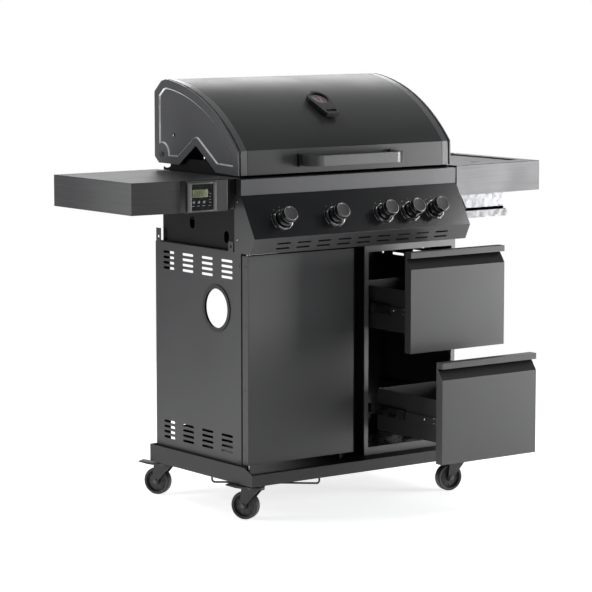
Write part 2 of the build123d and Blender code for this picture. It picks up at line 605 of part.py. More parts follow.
def lid_end(side):
    """End casting: notched side wall with a pressed pocket, and a grooved rim strip."""
    outer = side * LID_HALF
    strip = side * (LID_HALF - CAP_STRIP)
    wall = side * (LID_HALF - 4)
    body = across(lid_profile(), strip, outer)
    body -= across(lid_profile(6), strip - side, wall)
    groove_start = side * (LID_HALF - 10)
    body -= across(lid_profile(), groove_start, wall) - across(lid_profile(3.5), groove_start, wall)
    body -= across(notch_face(), strip - side * 5, outer + side * 5)
    body -= slab(strip - side, outer - side * 4, LID_FRONT + 6, LID_REAR - 9, 870, 932)
    pocket = lid_profile(22) - offset(notch_face(), 20)
    pocket -= Pos(0, LID_PIVOT_Y, LID_PIVOT_Z) * Rot(0, 90, 0) * Circle(30)
    pocket = Pos(outer, 0, 0) * pocket.faces().sort_by(SortBy.AREA)[-1]
    body -= extrude(pocket, 2.6, dir=(-side, 0, 0), taper=55)
    for y, z, radius in ((LID_PIVOT_Y, LID_PIVOT_Z, 4 + RUNNING_FIT), (316, 992.5, 3.5)):
        body -= Pos(outer, y, z) * Rot(0, 90, 0) * Cylinder(radius, 30)
    return body


HANDLE_Z = 933.0
HANDLE_TALL = 28.0
HANDLE_THICK = 16.0
HANDLE_HALF = 152.0             # to the centre lines of its two feet
PAD = 10.0                      # thickness of the plastic pads under the feet


def lid_handle():
    """Flat grip bar whose two ends bend back to the lid."""
    x, y, end = HANDLE_HALF, -36, LID_FRONT - PAD
    line = FilletPolyline((-x, end + 3), (-x, y), (x, y), (x, end + 3), radius=28)
    bar = extrude(trace(line, HANDLE_THICK), HANDLE_TALL)
    bar -= slab(-300, 300, end, end + 40, -1, HANDLE_TALL + 1)
    return Pos(0, 0, HANDLE_Z - HANDLE_TALL / 2) * bar


def lid_handle_mounts():
    """Two plastic pads between the handle's feet and the lid's front band."""
    mounts = []
    for side in (-1, 1):
        x0, x1 = side * (HANDLE_HALF - 15), side * (HANDLE_HALF + 15)
        block = slab(x0, x1, LID_FRONT - PAD, LID_FRONT, HANDLE_Z - 17, HANDLE_Z + 17)
        mounts.append(fillet(block.edges().filter_by(Axis.Y), 4))
    return Compound(mounts)


def gauge_plane():
    """Plane tangent to the lid at the gauge, X across, Y up the lid, Z out of it."""
    arc = lid_arc()
    run = (arc @ 1).Y - (arc @ 0).Y
    at = (GAUGE_Y - (arc @ 0).Y) / run
    for _ in range(12):
        at += (GAUGE_Y - (arc @ at).Y) / run
    up = arc % at
    return Plane(origin=arc @ at, x_dir=(1, 0, 0), z_dir=(0, -up.Z, up.Y))


def gauge_case():
    """Tear-shaped case of the lid thermometer, with a dial well and a thumb recess."""
    tall = 15.0
    outline = make_hull((Circle(34) + Pos(0, -70) * RectangleRounded(44, 10, 3)).edges())
    case = extrude(outline, tall)
    case = chamfer(case.edges().group_by(Axis.Z)[-1], 1.5)
    case = Pos(0, 0, 0.4) * case
    case -= Pos(0, 0, tall - 2) * Cylinder(GAUGE_DIAL + 1, 10)
    case -= Pos(0, -62, tall) * Box(33, 11, 6)
    case -= Pos(0, 0, tall - 8) * Cylinder(1.5 + RUNNING_FIT, 8)
    case -= slab(-40, 40, -50, -90, -2, 3.2)
    return gauge_plane() * case


def gauge_needle():
    """Pointer on its spindle, just above the dial."""
    tall = 15.0 - 7 + 0.4
    needle = Pos(0, 0, tall + 1.4) * Cylinder(3, 1)
    needle += Pos(0, 8, tall + 1.4) * Box(1.6, 20, 0.8)
    needle += Pos(0, 0, tall - 1) * Cylinder(1.5, 5)
    return gauge_plane() * needle


# Side tables --------------------------------------------------------------------
def table_plan(side, inset=0.0):
    """Plan outline of a side table, drawn in by `inset` on every side."""
    points = [(TABLE_INNER + inset, TABLE_FRONT + inset),
              (TABLE_OUTER_FRONT - inset, TABLE_FRONT + TABLE_SWEEP + inset),
              (TABLE_OUTER_REAR - inset, TABLE_REAR - inset),
              (TABLE_INNER + inset, TABLE_REAR - inset)]
    return make_face(Polyline(*[(side * x, y, 0) for x, y in points], close=True))


def table_pan(side):
    """Upside-down tray with stand-off brackets to the firebox side."""
    pan = Pos(0, 0, TABLE_LOW) * extrude(table_plan(side), TABLE_HIGH - TABLE_LOW, dir=(0, 0, 1))
    pan = fillet(pan.edges().group_by(Axis.Z)[-1], 1.5)
    hollow = TABLE_HIGH - TABLE_LOW + 1 - SHEET
    pan -= Pos(0, 0, TABLE_LOW - 1) * extrude(table_plan(side, SHEET), hollow, dir=(0, 0, 1))
    for y in (70, 300):
        pan += slab(side * TABLE_INNER, side * FIREBOX_HALF, y, y + 30, TABLE_LOW + 12, TABLE_LOW + 60)
    return pan


DISPLAY_LEFT = -535.0
DISPLAY_RIGHT = -403.0
BEZEL_RIGHT = -443.0
BUTTONS = {"display_button_1": -514.0, "display_button_2": -498.0, "display_button_3": -482.0}
BUTTON_Z = 841.0


def left_table():
    """Left table, its front apron cut away where the temperature display hangs."""
    pan = table_pan(-1)
    pan -= slab(-546, -TABLE_INNER + 2, TABLE_FRONT - 2, TABLE_FRONT + 30, TABLE_LOW - 1, TABLE_HIGH - SHEET)
    pan += slab(-546, -TABLE_INNER, 42, 42 + SHEET, TABLE_LOW, TABLE_HIGH - SHEET)
    return pan


def display_housing():
    """Box under the table top with a framed screen opening and three button holes."""
    front, rear = TABLE_FRONT - 1.5, 41.7
    box = slab(DISPLAY_LEFT, DISPLAY_RIGHT, front + 3, rear, TABLE_LOW, TABLE_HIGH - SHEET - 0.2)
    box = fillet(box.edges().filter_by(Axis.Z).group_by(Axis.X)[-1], 5)
    frame = slab(DISPLAY_LEFT + 2, BEZEL_RIGHT, front, front + 3, TABLE_LOW + 2, TABLE_HIGH - 6)
    box += fillet(frame.edges().filter_by(Axis.Y), 4)
    box -= slab(-520, -453, front - 1, front + 1.6, TABLE_LOW + 6, TABLE_HIGH - 10)
    box -= slab(-517, -469, front, front + 3, 853, 873)
    for x in BUTTONS.values():
        box -= Pos(x, front + 6, BUTTON_Z) * Rot(90, 0, 0) * Cylinder(3.5 + RUNNING_FIT, 12)
    return box


def display_button(x):
    """One round push button of the temperature display."""
    front = TABLE_FRONT + 0.1
    button = rod((x, front - 2.6, BUTTON_Z), (x, front + 5.2, BUTTON_Z), 3.5)
    return fillet(button.edges().sort_by(Axis.Y)[0], 0.8)


def right_table():
    """Right table with the square opening of the side burner."""
    pan = table_pan(1)
    x0, x1 = BURNER_CENTRE_X - BURNER_HALF, BURNER_CENTRE_X + BURNER_HALF
    return pan - slab(x0, x1, BURNER_FRONT, BURNER_REAR, TABLE_HIGH - 10, TABLE_HIGH + 5)


def side_burner_bowl():
    """Tapered sheet bowl hung from the table, with channels below for the drip tray."""
    x, top, low = BURNER_CENTRE_X, TABLE_HIGH - SHEET, 768.0
    foot = 58.0
    front, rear = BURNER_FRONT + 6, BURNER_REAR - 8
    outer = [(x - BURNER_HALF + 2, top - 6), (x - foot, low), (x + foot, low), (x + BURNER_HALF - 2, top - 6)]
    inner = [(x - BURNER_HALF + 4.2, top - 5), (x - foot + 1.5, low + SHEET), (x + foot - 1.5, low + SHEET),
             (x + BURNER_HALF - 4.2, top - 5)]
    solid = make_face(Polyline(*[(px, front, pz) for px, pz in outer], close=True))
    hollow = make_face(Polyline(*[(px, front + SHEET, pz) for px, pz in inner], close=True))
    bowl = extrude(solid, rear - front, dir=(0, 1, 0))
    bowl -= extrude(hollow, rear - front - 2 * SHEET, dir=(0, 1, 0))
    flange = slab(x - BURNER_HALF - 12, x + BURNER_HALF + 12, BURNER_FRONT - 12, BURNER_REAR + 12,
                  top - 6, top)
    flange -= slab(x - BURNER_HALF, x + BURNER_HALF, BURNER_FRONT, BURNER_REAR, top - 5, top + 1)
    flange -= slab(x - BURNER_HALF + 6, x + BURNER_HALF - 6, front + SHEET, rear - SHEET, top - 8, top + 1)
    bowl += flange
    for side in (-1, 1):
        bowl += slab(x + side * (foot - 4), x + side * 80, front, rear, low, low + SHEET)
        bowl += slab(x + side * 78.5, x + side * 80, front, rear, 740, low)
        bowl += slab(x + side * 70, x + side * 80, front, rear, 740, 741.5)
    return bowl


def side_burner_head():
    """Round burner with a port ring on a feed pipe that enters through the bowl's side."""
    x, y = BURNER_CENTRE_X, (BURNER_FRONT + BURNER_REAR) / 2
    head = Pos(x, y, 800) * Cylinder(38, 16)
    head += Pos(x, y, 812) * Cylinder(44, 9)
    head = chamfer(head.edges().group_by(Axis.Z)[-1], 3)
    head += Pos(x, y, 780.75) * Cylinder(16, 22.5)
    head += Pos(x, y, 820) * Cylinder(12, 10)
    return head


def side_burner_grate():
    """Cast pan support: a square ring with six fingers."""
    x, y = BURNER_CENTRE_X, (BURNER_FRONT + BURNER_REAR) / 2
    z0, z1 = TABLE_HIGH - SHEET - 13, TABLE_HIGH - SHEET - 6.2
    half_x, half_y = BURNER_HALF - 12, (BURNER_REAR - BURNER_FRONT) / 2 - 12
    grate = slab(x - half_x, x + half_x, y - half_y, y + half_y, z0, z1)
    grate -= slab(x - half_x + 8, x + half_x - 8, y - half_y + 8, y + half_y - 8, z0 - 1, z1 + 1)
    for dx in (-60, 0, 60):
        grate += slab(x + dx - 3.5, x + dx + 3.5, y - half_y, y - 34, z0, z1)
        grate += slab(x + dx - 3.5, x + dx + 3.5, y + 34, y + half_y, z0, z1)
    for side in (-1, 1):
        grate += slab(x + side * half_x, x + side * 40, y - 3.5, y + 3.5, z0, z1)
    return grate


SIDE_LID_PIVOT_Y = 356.0
SIDE_LID_PIVOT_Z = TABLE_HIGH + 0.2


def side_burner_lid():
    """Flush lid with a finger hole, on a rolled hinge edge at the rear."""
    top = TABLE_HIGH - 3.4
    left, right = BURNER_CENTRE_X - BURNER_HALF + 1.2, BURNER_CENTRE_X + BURNER_HALF - 1.2
    y, z = SIDE_LID_PIVOT_Y, SIDE_LID_PIVOT_Z
    plate = slab(left, right, BURNER_FRONT + 1.2, y, top - 2, top)
    plate -= Pos(BURNER_CENTRE_X, BURNER_FRONT + 32, top) * Cylinder(17, 10)
    plate += slab(left, right, y - 3.5, y - 2, top - 2, z)
    return plate + rod((left, y, z), (right, y, z), 3.5)


def side_burner_tray():
    """Drip tray that slides forward in the channels under the side burner."""
    x, front, rear, low, high = BURNER_CENTRE_X, 58.0, 340.0, 742.0, 762.0
    tray = slab(x - 77, x + 77, front, rear, low, high)
    tray -= slab(x - 77 + SHEET, x + 77 - SHEET, front + SHEET, rear - SHEET, low + SHEET, high + 1)
    return tray


# Casters ------------------------------------------------------------------------
def caster_frame(stem, angle):
    """Location of a caster: stem at the origin, wheel trailing along +X."""
    return Pos(stem[0], stem[1], 0) * Rot(0, 0, angle)


def caster_fork(name):
    """Swivel fork: king pin, bearing disc and two tapered legs holding the axle."""
    x, y, angle = CASTERS[name]
    fork = Pos(0, 0, 85) * Cylinder(24, 7)
    fork += Pos(0, 0, 90.4) * Cylinder(15, 4.4)
    fork += rod((0, 0, 85), (0, 0, KING_PIN_TOP), 6)
    for side in (-1, 1):
        y0, y1 = side * 15.2, side * 18.2
        leg = make_face(Polyline((-20, y0, 88), (33, y0, 88), (CASTER_TRAIL + 9, y0, 44),
                                 (CASTER_TRAIL + 7, y0, 31), (CASTER_TRAIL - 7, y0, 31),
                                 (CASTER_TRAIL - 10, y0, 42), close=True))
        fork += extrude(leg, abs(y1 - y0), dir=(0, side, 0))
    fork += rod((CASTER_TRAIL, -20.5, WHEEL_RADIUS), (CASTER_TRAIL, 20.5, WHEEL_RADIUS), 4)
    if name in BRAKED:
        px, pz = PEDAL_PIVOT
        fork += rod((px, -17, pz), (px, 17, pz), 2)
    return caster_frame((x, y), angle) * fork


def caster_wheel(name):
    """Moulded wheel: tread, web recessed on both faces, and a wide hub."""
    x, y, angle = CASTERS[name]
    half = WHEEL_WIDTH / 2
    outline = [(4 + RUNNING_FIT, -14.8), (9, -14.8), (11, -6), (27, -4), (29.5, -half + 1), (34, -half),
               (WHEEL_RADIUS, -half + 4), (WHEEL_RADIUS, half - 4), (34, half), (29.5, half - 1), (27, 4),
               (11, 6), (9, 14.8), (4 + RUNNING_FIT, 14.8)]
    wheel = revolve(make_face(Polyline(*[(r, 0, h) for r, h in outline], close=True)), Axis.Z)
    return caster_frame((x, y), angle) * Pos(CASTER_TRAIL, 0, WHEEL_RADIUS) * Rot(90, 0, 0) * wheel


def caster_brake(name):
    """Foot pedal of the wheel brake, tipping down about a pin between the fork's legs."""
    x, y, angle = CASTERS[name]
    px, pz = PEDAL_PIVOT
    tip = PEDAL_REACH
    outline = [(px - 4, pz - 3), (px - 4, pz + 3), (px + 22, pz + 4.5), (tip - 2, pz + 7), (tip, pz + 4),
               (px + 25, pz - 1)]
    face = make_face(Polyline(*[(a, -PEDAL_HALF, b) for a, b in outline], close=True))
    pedal = extrude(face, 2 * PEDAL_HALF, dir=(0, 1, 0))
    pedal -= rod((px, -PEDAL_HALF - 1, pz), (px, PEDAL_HALF + 1, pz), 2 + RUNNING_FIT)
    return caster_frame((x, y), angle) * pedal


# Write every sub-part -----------------------------------------------------------
PARTS = {
    "base_tray": base_tray, "corner_brace_rod": corner_brace_rod, "hose_grommet": hose_grommet,
    "centre_divider": centre_divider, "drawer_bay_frame": drawer_bay_frame, "cabinet_back": cabinet_back,
    "hinge_pins": hinge_pins, "door": door, "outer_rails": outer_rails, "front_trim": front_trim,
    "control_panel": control_panel, "knob_bezels": knob_bezels, "gas_manifold": gas_manifold,
    "burner_tubes": burner_tubes, "flame_tamers": flame_tamers, "cooking_grates": cooking_grates,
    "warming_rack": warming_rack, "grease_tray": grease_tray, "lid_shell": lid_shell,
    "lid_handle": lid_handle, "lid_handle_mounts": lid_handle_mounts, "gauge_case": gauge_case,
    "gauge_needle": gauge_needle, "left_table": left_table, "display_housing": display_housing,
    "right_table": right_table, "side_burner_bowl": side_burner_bowl, "side_burner_head": side_burner_head,
    "side_burner_grate": side_burner_grate, "side_burner_lid": side_burner_lid,
    "side_burner_tray": side_burner_tray,
}
for node, build in PARTS.items():
    write(node, build())
write("firebox", firebox() + tray_runners())
for word, side in (("left", -1), ("right", 1)):
    write(f"{word}_side_panel", side_panel(side))
    write(f"lid_end_{word}", lid_end(side))
for word, sizes, opened in (("top", TOP_DRAWER, TOP_OPEN), ("bottom", BOTTOM_DRAWER, BOTTOM_OPEN)):
    write(f"{word}_drawer_front", drawer_front(sizes, opened))
    write(f"{word}_drawer_box", drawer_box(sizes, opened))
    write(f"{word}_drawer_middle_rails", middle_rails(sizes, opened))
for number, x in enumerate(KNOB_X, start=1):
    write(f"burner_knob_{number}", burner_knob(x))
for node, x in BUTTONS.items():
    write(node, display_button(x))
for name in CASTERS:
    write(f"caster_fork_{name}", caster_fork(name))
    write(f"caster_wheel_{name}", caster_wheel(name))
for name in BRAKED:
    write(f"caster_brake_{name}", caster_brake(name))
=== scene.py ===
import json
import math

import bmesh
import bpy
from mathutils import Matrix, Vector


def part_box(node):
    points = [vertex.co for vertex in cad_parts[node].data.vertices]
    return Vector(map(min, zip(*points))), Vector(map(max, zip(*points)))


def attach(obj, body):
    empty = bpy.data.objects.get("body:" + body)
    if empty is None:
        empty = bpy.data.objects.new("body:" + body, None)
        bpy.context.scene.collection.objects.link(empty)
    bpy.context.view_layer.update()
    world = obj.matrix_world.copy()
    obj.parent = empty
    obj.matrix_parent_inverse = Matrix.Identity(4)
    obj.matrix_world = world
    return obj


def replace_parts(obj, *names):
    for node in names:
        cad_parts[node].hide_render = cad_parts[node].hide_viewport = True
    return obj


# Looks of the gas barbecue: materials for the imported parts, and the small pieces that the
# CAD leaves out (screws, rivets, printed marks, display, dial, plated rings, wheel treads and
# three hidden sheets).  Metres throughout, +X right, -Y front, +Z up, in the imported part's frame.

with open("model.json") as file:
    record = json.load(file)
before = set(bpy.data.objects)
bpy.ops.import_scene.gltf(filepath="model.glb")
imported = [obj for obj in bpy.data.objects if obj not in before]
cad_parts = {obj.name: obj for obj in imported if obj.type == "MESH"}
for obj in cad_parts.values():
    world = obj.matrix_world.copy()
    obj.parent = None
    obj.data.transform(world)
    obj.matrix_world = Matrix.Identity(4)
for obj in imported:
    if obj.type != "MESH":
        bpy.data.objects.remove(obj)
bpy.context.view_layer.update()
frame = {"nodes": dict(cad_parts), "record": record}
JOINTS = {joint["name"]: joint for joint in frame["record"]["behaviour"]["joints"]}
MM = 0.001


# Node materials -------------------------------------------------------------------
class Recipe:
    """Builds one node material around a Principled shader."""

    def __init__(self, name, colour, rough, metal=0.0, coat=0.0, coat_rough=0.1, specular=0.5):
        self.material = bpy.data.materials.new(name)
        self.material.use_nodes = True
        self.tree = self.material.node_tree
        self.shader = self.tree.nodes["Principled BSDF"]
        self.colour = (*colour, 1.0)
        self.set(self.shader, "Base Color", self.colour)
        self.set(self.shader, "Roughness", rough)
        self.set(self.shader, "Metallic", metal)
        self.set(self.shader, "Coat Weight", coat)
        self.set(self.shader, "Coat Roughness", coat_rough)
        self.set(self.shader, "Specular IOR Level", specular)
        self.place = self.add("ShaderNodeTexCoord").outputs["Object"]

    def add(self, kind, **values):
        node = self.tree.nodes.new(kind)
        for key, value in values.items():
            setattr(node, key, value)
        return node

    def set(self, node, socket, value):
        node.inputs[socket].default_value = value

    def join(self, output, node, socket):
        self.tree.links.new(output, node.inputs[socket])

    def noise(self, scale, detail=2.0, stretch=None):
        """A noise pattern in the object's own space; stretch draws it out along an axis."""
        node = self.add("ShaderNodeTexNoise")
        self.set(node, "Scale", scale)
        self.set(node, "Detail", detail)
        source = self.place
        if stretch:
            mapping = self.add("ShaderNodeMapping")
            mapping.inputs["Scale"].default_value = stretch
            self.join(source, mapping, "Vector")
            source = mapping.outputs["Vector"]
        self.join(source, node, "Vector")
        return node.outputs["Fac"]

    def spread(self, source, low, high, start=0.3, stop=0.7):
        """Maps a pattern's values from start..stop to low..high."""
        node = self.add("ShaderNodeMapRange")
        for socket, value in (("From Min", start), ("From Max", stop), ("To Min", low), ("To Max", high)):
            self.set(node, socket, value)
        self.join(source, node, "Value")
        return node.outputs["Result"]

    def tint(self, source, amount, other=None):
        """Varies the base colour between two tones by a pattern."""
        mix = self.add("ShaderNodeMix", data_type="RGBA")
        dark = other or tuple(channel * (1.0 - amount) for channel in self.colour[:3])
        light = tuple(min(channel * (1.0 + amount), 1.0) for channel in self.colour[:3])
        mix.inputs[6].default_value = (*dark, 1.0)
        mix.inputs[7].default_value = (*light, 1.0)
        self.join(source, mix, "Factor")
        self.join(mix.outputs[2], self.shader, "Base Color")
        return mix

    def crevices(self, reach, amount):
        """Painted shade: darkens the base colour where near surfaces shut the light out."""
        shade = self.add("ShaderNodeAmbientOcclusion", samples=4)
        self.set(shade, "Distance", reach)
        factor = self.spread(shade.outputs["AO"], 1.0 - amount, 1.0, 0.35, 0.85)
        link = self.shader.inputs["Base Color"].links[0]
        mix = self.add("ShaderNodeMix", data_type="RGBA")
        mix.inputs[6].default_value = (0.0, 0.0, 0.0, 1.0)
        self.join(factor, mix, "Factor")
        self.join(link.from_socket, mix, 7)
        self.join(mix.outputs[2], self.shader, "Base Color")

    def bump(self, source, height, edge=0.0):
        """Fine relief, over edges that are rounded by `edge` metres for the light."""
        node = self.add("ShaderNodeBump")
        self.set(node, "Strength", 1.0)
        self.set(node, "Distance", height)
        self.join(source, node, "Height")
        if edge:
            rounded = self.add("ShaderNodeBevel", samples=3)
            self.set(rounded, "Radius", edge)
            self.join(rounded.outputs["Normal"], node, "Normal")
        self.join(node.outputs["Normal"], self.shader, "Normal")


def paint(name, colour, rough, metal=0.35, coat=0.0, grain=0.00003, edge=0.0009, flake=0.25, specular=0.5,
          crevice_shade=0.0, streak=0.0):
    """Powder coat: fine orange peel, flake or long streaks, slow changes of gloss, and painted shade that
    darkens its crevices.
    """
    recipe = Recipe(name, colour, rough, metal, coat, specular=specular)
    if streak:
        recipe.tint(recipe.noise(420.0, 3.0, (0.012, 0.012, 1.0)), streak)
    else:
        recipe.tint(recipe.noise(2600.0, 1.0), flake)
    cloud = recipe.noise(7.0, 4.0)
    recipe.join(recipe.spread(cloud, rough - 0.035, rough + 0.035), recipe.shader, "Roughness")
    # painted shade: the colour darkens in crevices by ambient occlusion
    if crevice_shade:
        recipe.crevices(0.03, crevice_shade)
    recipe.bump(recipe.noise(900.0, 2.0), grain, edge)
    return recipe.material


def two_tone_panel(name, colour, rough, foot_colour, crease):
    """Gloss black sloping face above the crease, plain powder coat below it and on the ends."""
    recipe = Recipe(name, colour, rough, 0.1, 0.35, 0.12)
    parts = recipe.add("ShaderNodeSeparateXYZ")
    recipe.join(recipe.place, parts, "Vector")
    above = recipe.add("ShaderNodeMath", operation="GREATER_THAN")
    recipe.join(parts.outputs["Z"], above, 0)
    above.inputs[1].default_value = crease
    facing = recipe.add("ShaderNodeSeparateXYZ")
    surface = recipe.add("ShaderNodeTexCoord")
    recipe.join(surface.outputs["Normal"], facing, "Vector")
    forward = recipe.add("ShaderNodeMath", operation="LESS_THAN")
    recipe.join(facing.outputs["Y"], forward, 0)
    forward.inputs[1].default_value = -0.4
    both = recipe.add("ShaderNodeMath", operation="MULTIPLY")
    recipe.join(above.outputs[0], both, 0)
    recipe.join(forward.outputs[0], both, 1)
    mix = recipe.tint(both.outputs[0], 0.0)
    mix.inputs[6].default_value = (*foot_colour, 1.0)
    recipe.join(recipe.spread(both.outputs[0], 0.45, rough, 0.0, 1.0), recipe.shader, "Roughness")
    recipe.bump(recipe.noise(900.0, 2.0), 0.00002, 0.0009)
    return recipe.material


def plated(name, colour, rough):
    """Plated steel with a faint cloudiness."""
    recipe = Recipe(name, colour, rough, 1.0)
    cloud = recipe.noise(60.0, 3.0)
    recipe.tint(cloud, 0.06)
    recipe.join(recipe.spread(cloud, rough * 0.7, rough * 1.4), recipe.shader, "Roughness")
    recipe.bump(recipe.noise(400.0), 0.00001, 0.0004)
    return recipe.material


def spangled(name, colour, rough):
    """Galvanised sheet with its crystal pattern."""
    recipe = Recipe(name, colour, rough, 1.0)
    cells = recipe.add("ShaderNodeTexVoronoi")
    recipe.set(cells, "Scale", 90.0)
    recipe.join(recipe.place, cells, "Vector")
    grey = recipe.add("ShaderNodeSeparateColor")
    recipe.join(cells.outputs["Color"], grey, "Color")
    recipe.tint(grey.outputs[0], 0.14)
    gloss = recipe.spread(grey.outputs[0], rough - 0.08, rough + 0.1, 0.0, 1.0)
    recipe.join(gloss, recipe.shader, "Roughness")
    recipe.bump(recipe.noise(300.0), 0.00001, 0.0005)
    return recipe.material


def brushed(name, colour, rough, stretch):
    """Brushed steel with its grain along one axis."""
    recipe = Recipe(name, colour, rough, 1.0)
    grain = recipe.noise(260.0, 4.0, stretch)
    recipe.tint(grain, 0.12)
    recipe.join(recipe.spread(grain, rough - 0.08, rough + 0.12), recipe.shader, "Roughness")
    recipe.bump(grain, 0.00004, 0.0004)
    return recipe.material


def cast(name, colour, rough, relief=0.00025):
    """Enamelled or bare casting with a sandy skin."""
    recipe = Recipe(name, colour, rough, 0.1)
    recipe.tint(recipe.noise(40.0, 4.0), 0.35)
    recipe.bump(recipe.noise(700.0, 4.0), relief, 0.0010)
    return recipe.material


def plastic(name, colour, rough, relief=0.00003, coat=0.0):
    """Moulded plastic with a fine spark-eroded texture."""
    recipe = Recipe(name, colour, rough, 0.0, coat)
    recipe.tint(recipe.noise(25.0, 3.0), 0.15)
    recipe.join(recipe.spread(recipe.noise(90.0), rough - 0.05, rough + 0.06), recipe.shader, "Roughness")
    recipe.bump(recipe.noise(1400.0, 2.0), relief, 0.0005)
    return recipe.material


def self_lit_white(name, level):
    """Pale stage surface, whitened by a little light of its own."""
    recipe = Recipe(name, (level, level, level), 0.9)
    recipe.tint(recipe.noise(3.0, 2.0), 0.01)
    recipe.set(recipe.shader, "Emission Color", (1.0, 1.0, 1.0, 1.0))
    recipe.set(recipe.shader, "Emission Strength", 0.75)
    return recipe.material


# graphite powder coat, with painted shade darkening its crevices
GRAPHITE = paint("graphite_paint", (0.060, 0.060, 0.062), 0.42, crevice_shade=0.9)
TABLE_PAINT = paint("table_paint", (0.056, 0.056, 0.058), 0.38, metal=0.45, streak=0.35)
LID_PAINT = paint("lid_paint", (0.050, 0.050, 0.051), 0.34, metal=0.25, grain=0.00002, edge=0.0010)
CASTING_PAINT = paint("lid_end_paint", (0.125, 0.125, 0.128), 0.32, metal=0.3, coat=0.2, edge=0.0014)
BAY_FLOOR = plated("bay_floor_sheet", (0.13, 0.13, 0.133), 0.30)
# near-black paint for the drawer finger recesses: painted shadow under the lip, with painted shade in its
# crevices too
RECESS_SHADOW_PAINT = paint("recess_painted_shadow", (0.030, 0.030, 0.031), 0.65, metal=0.1, specular=0.12, crevice_shade=1.0)
TRIM_PAINT = paint("trim_paint", (0.085, 0.085, 0.088), 0.38)
BLACK_PAINT = paint("black_paint", (0.020, 0.020, 0.021), 0.45, metal=0.1)
DEEP_BLACK = paint("deep_black_paint", (0.006, 0.006, 0.006), 0.55, metal=0.0, specular=0.2)
BASE_PAINT = paint("base_paint", (0.020, 0.020, 0.021), 0.42)
FRAME_GREY = paint("frame_grey_paint", (0.12, 0.12, 0.123), 0.40)
PANEL_CREASE = 0.7415
PANEL_PAINT = two_tone_panel("control_panel_paint", (0.010, 0.010, 0.011), 0.22, (0.052, 0.052, 0.054),
                             PANEL_CREASE)
HANDLE_PAINT = paint("handle_paint", (0.11, 0.11, 0.112), 0.34, metal=0.5, edge=0.0016)
ZINC = plated("zinc_steel", (0.55, 0.56, 0.58), 0.30)
CHROME = plated("bright_chrome", (0.80, 0.80, 0.82), 0.10)
# light plated finish for the lid ends' slanted walls: painted highlight along the pocket and rim edges
CASTING_EDGE_HIGHLIGHT = plated("lid_end_painted_highlight", (0.62, 0.62, 0.63), 0.42)
KNOB_RING = plated("knob_ring", (0.42, 0.42, 0.43), 0.42)
CAP_FACE = plastic("knob_cap_face", (0.045, 0.045, 0.046), 0.5)
TRAY_STEEL = plated("tray_steel", (0.13, 0.13, 0.133), 0.40)
DARK_CHROME = plated("black_chrome", (0.34, 0.34, 0.35), 0.20)
RAIL_STEEL = plated("rail_steel", (0.10, 0.10, 0.105), 0.34)
GALVANISED = spangled("galvanised_sheet", (0.17, 0.172, 0.178), 0.42)
STAINLESS = brushed("stainless", (0.50, 0.50, 0.50), 0.30, (1.0, 0.04, 1.0))
IRON = cast("iron", (0.030, 0.030, 0.030), 0.60)
BRASS = cast("burner_brass", (0.50, 0.36, 0.14), 0.40, 0.0001)
PLASTIC = plastic("black_plastic", (0.014, 0.014, 0.014), 0.38)
GLOSS_PLASTIC = plastic("gloss_black_plastic", (0.010, 0.010, 0.010), 0.16, 0.00001, 0.3)
WHEEL_PLASTIC = plastic("wheel_plastic", (0.020, 0.020, 0.020), 0.45)
BUTTON_PLASTIC = plastic("button_plastic", (0.22, 0.22, 0.22), 0.40)
SILVER_PLASTIC = plastic("silver_plastic", (0.10, 0.10, 0.103), 0.34)
RUBBER = plastic("grommet_rubber", (0.010, 0.010, 0.010), 0.55, 0.00006)
FORK_PAINT = paint("caster_paint", (0.035, 0.035, 0.036), 0.34)
NEEDLE_RED = paint("red_pointer", (0.55, 0.04, 0.02), 0.45, metal=0.0)
DIAL_GREY = plastic("dial_face", (0.32, 0.32, 0.33), 0.5)
PRINT_WHITE = plastic("white_print", (0.75, 0.75, 0.75), 0.5)
PRINT_GREY = plastic("grey_print", (0.30, 0.30, 0.30), 0.5)
PRINT_RED = plastic("red_print", (0.45, 0.05, 0.03), 0.5)
LCD_GREEN = plastic("display_screen", (0.17, 0.19, 0.10), 0.25, 0.00001, 0.4)
LCD_DARK = plastic("display_segments", (0.035, 0.040, 0.020), 0.35, 0.00001)
FLOOR_WHITE = self_lit_white("floor_white", 0.80)

NODE_MATERIALS = {
    "base_tray": BASE_PAINT, "corner_brace_rod": BLACK_PAINT, "hose_grommet": RUBBER,
    # centre_divider is painted deep black for the shade in the gap beside the door: painted shade
    "centre_divider": DEEP_BLACK, "drawer_bay_frame": FRAME_GREY, "cabinet_back": BLACK_PAINT,
    "hinge_pins": DARK_CHROME, "door": GRAPHITE, "outer_rails": RAIL_STEEL, "front_trim": TRIM_PAINT,
    "control_panel": PANEL_PAINT, "knob_bezels": GLOSS_PLASTIC, "gas_manifold": ZINC,
    "burner_tubes": STAINLESS, "flame_tamers": STAINLESS, "cooking_grates": IRON,
    "warming_rack": CHROME, "grease_tray": GALVANISED,
    "lid_shell": LID_PAINT, "lid_handle": HANDLE_PAINT, "lid_handle_mounts": PLASTIC, "gauge_case": PLASTIC,
    "gauge_needle": NEEDLE_RED, "left_table": TABLE_PAINT, "display_housing": BLACK_PAINT,
    "right_table": TABLE_PAINT, "side_burner_bowl": GALVANISED, "side_burner_head": BRASS,
    "side_burner_grate": IRON, "side_burner_lid": TABLE_PAINT, "side_burner_tray": TRAY_STEEL,
    "firebox": DEEP_BLACK, "left_side_panel": GRAPHITE, "right_side_panel": GRAPHITE,
    "lid_end_left": CASTING_PAINT, "lid_end_right": CASTING_PAINT,
    "top_drawer_front": GRAPHITE, "bottom_drawer_front": GRAPHITE,
    "top_drawer_box": BLACK_PAINT, "bottom_drawer_box": BLACK_PAINT,
    "top_drawer_middle_rails": RAIL_STEEL, "bottom_drawer_middle_rails": RAIL_STEEL,
}
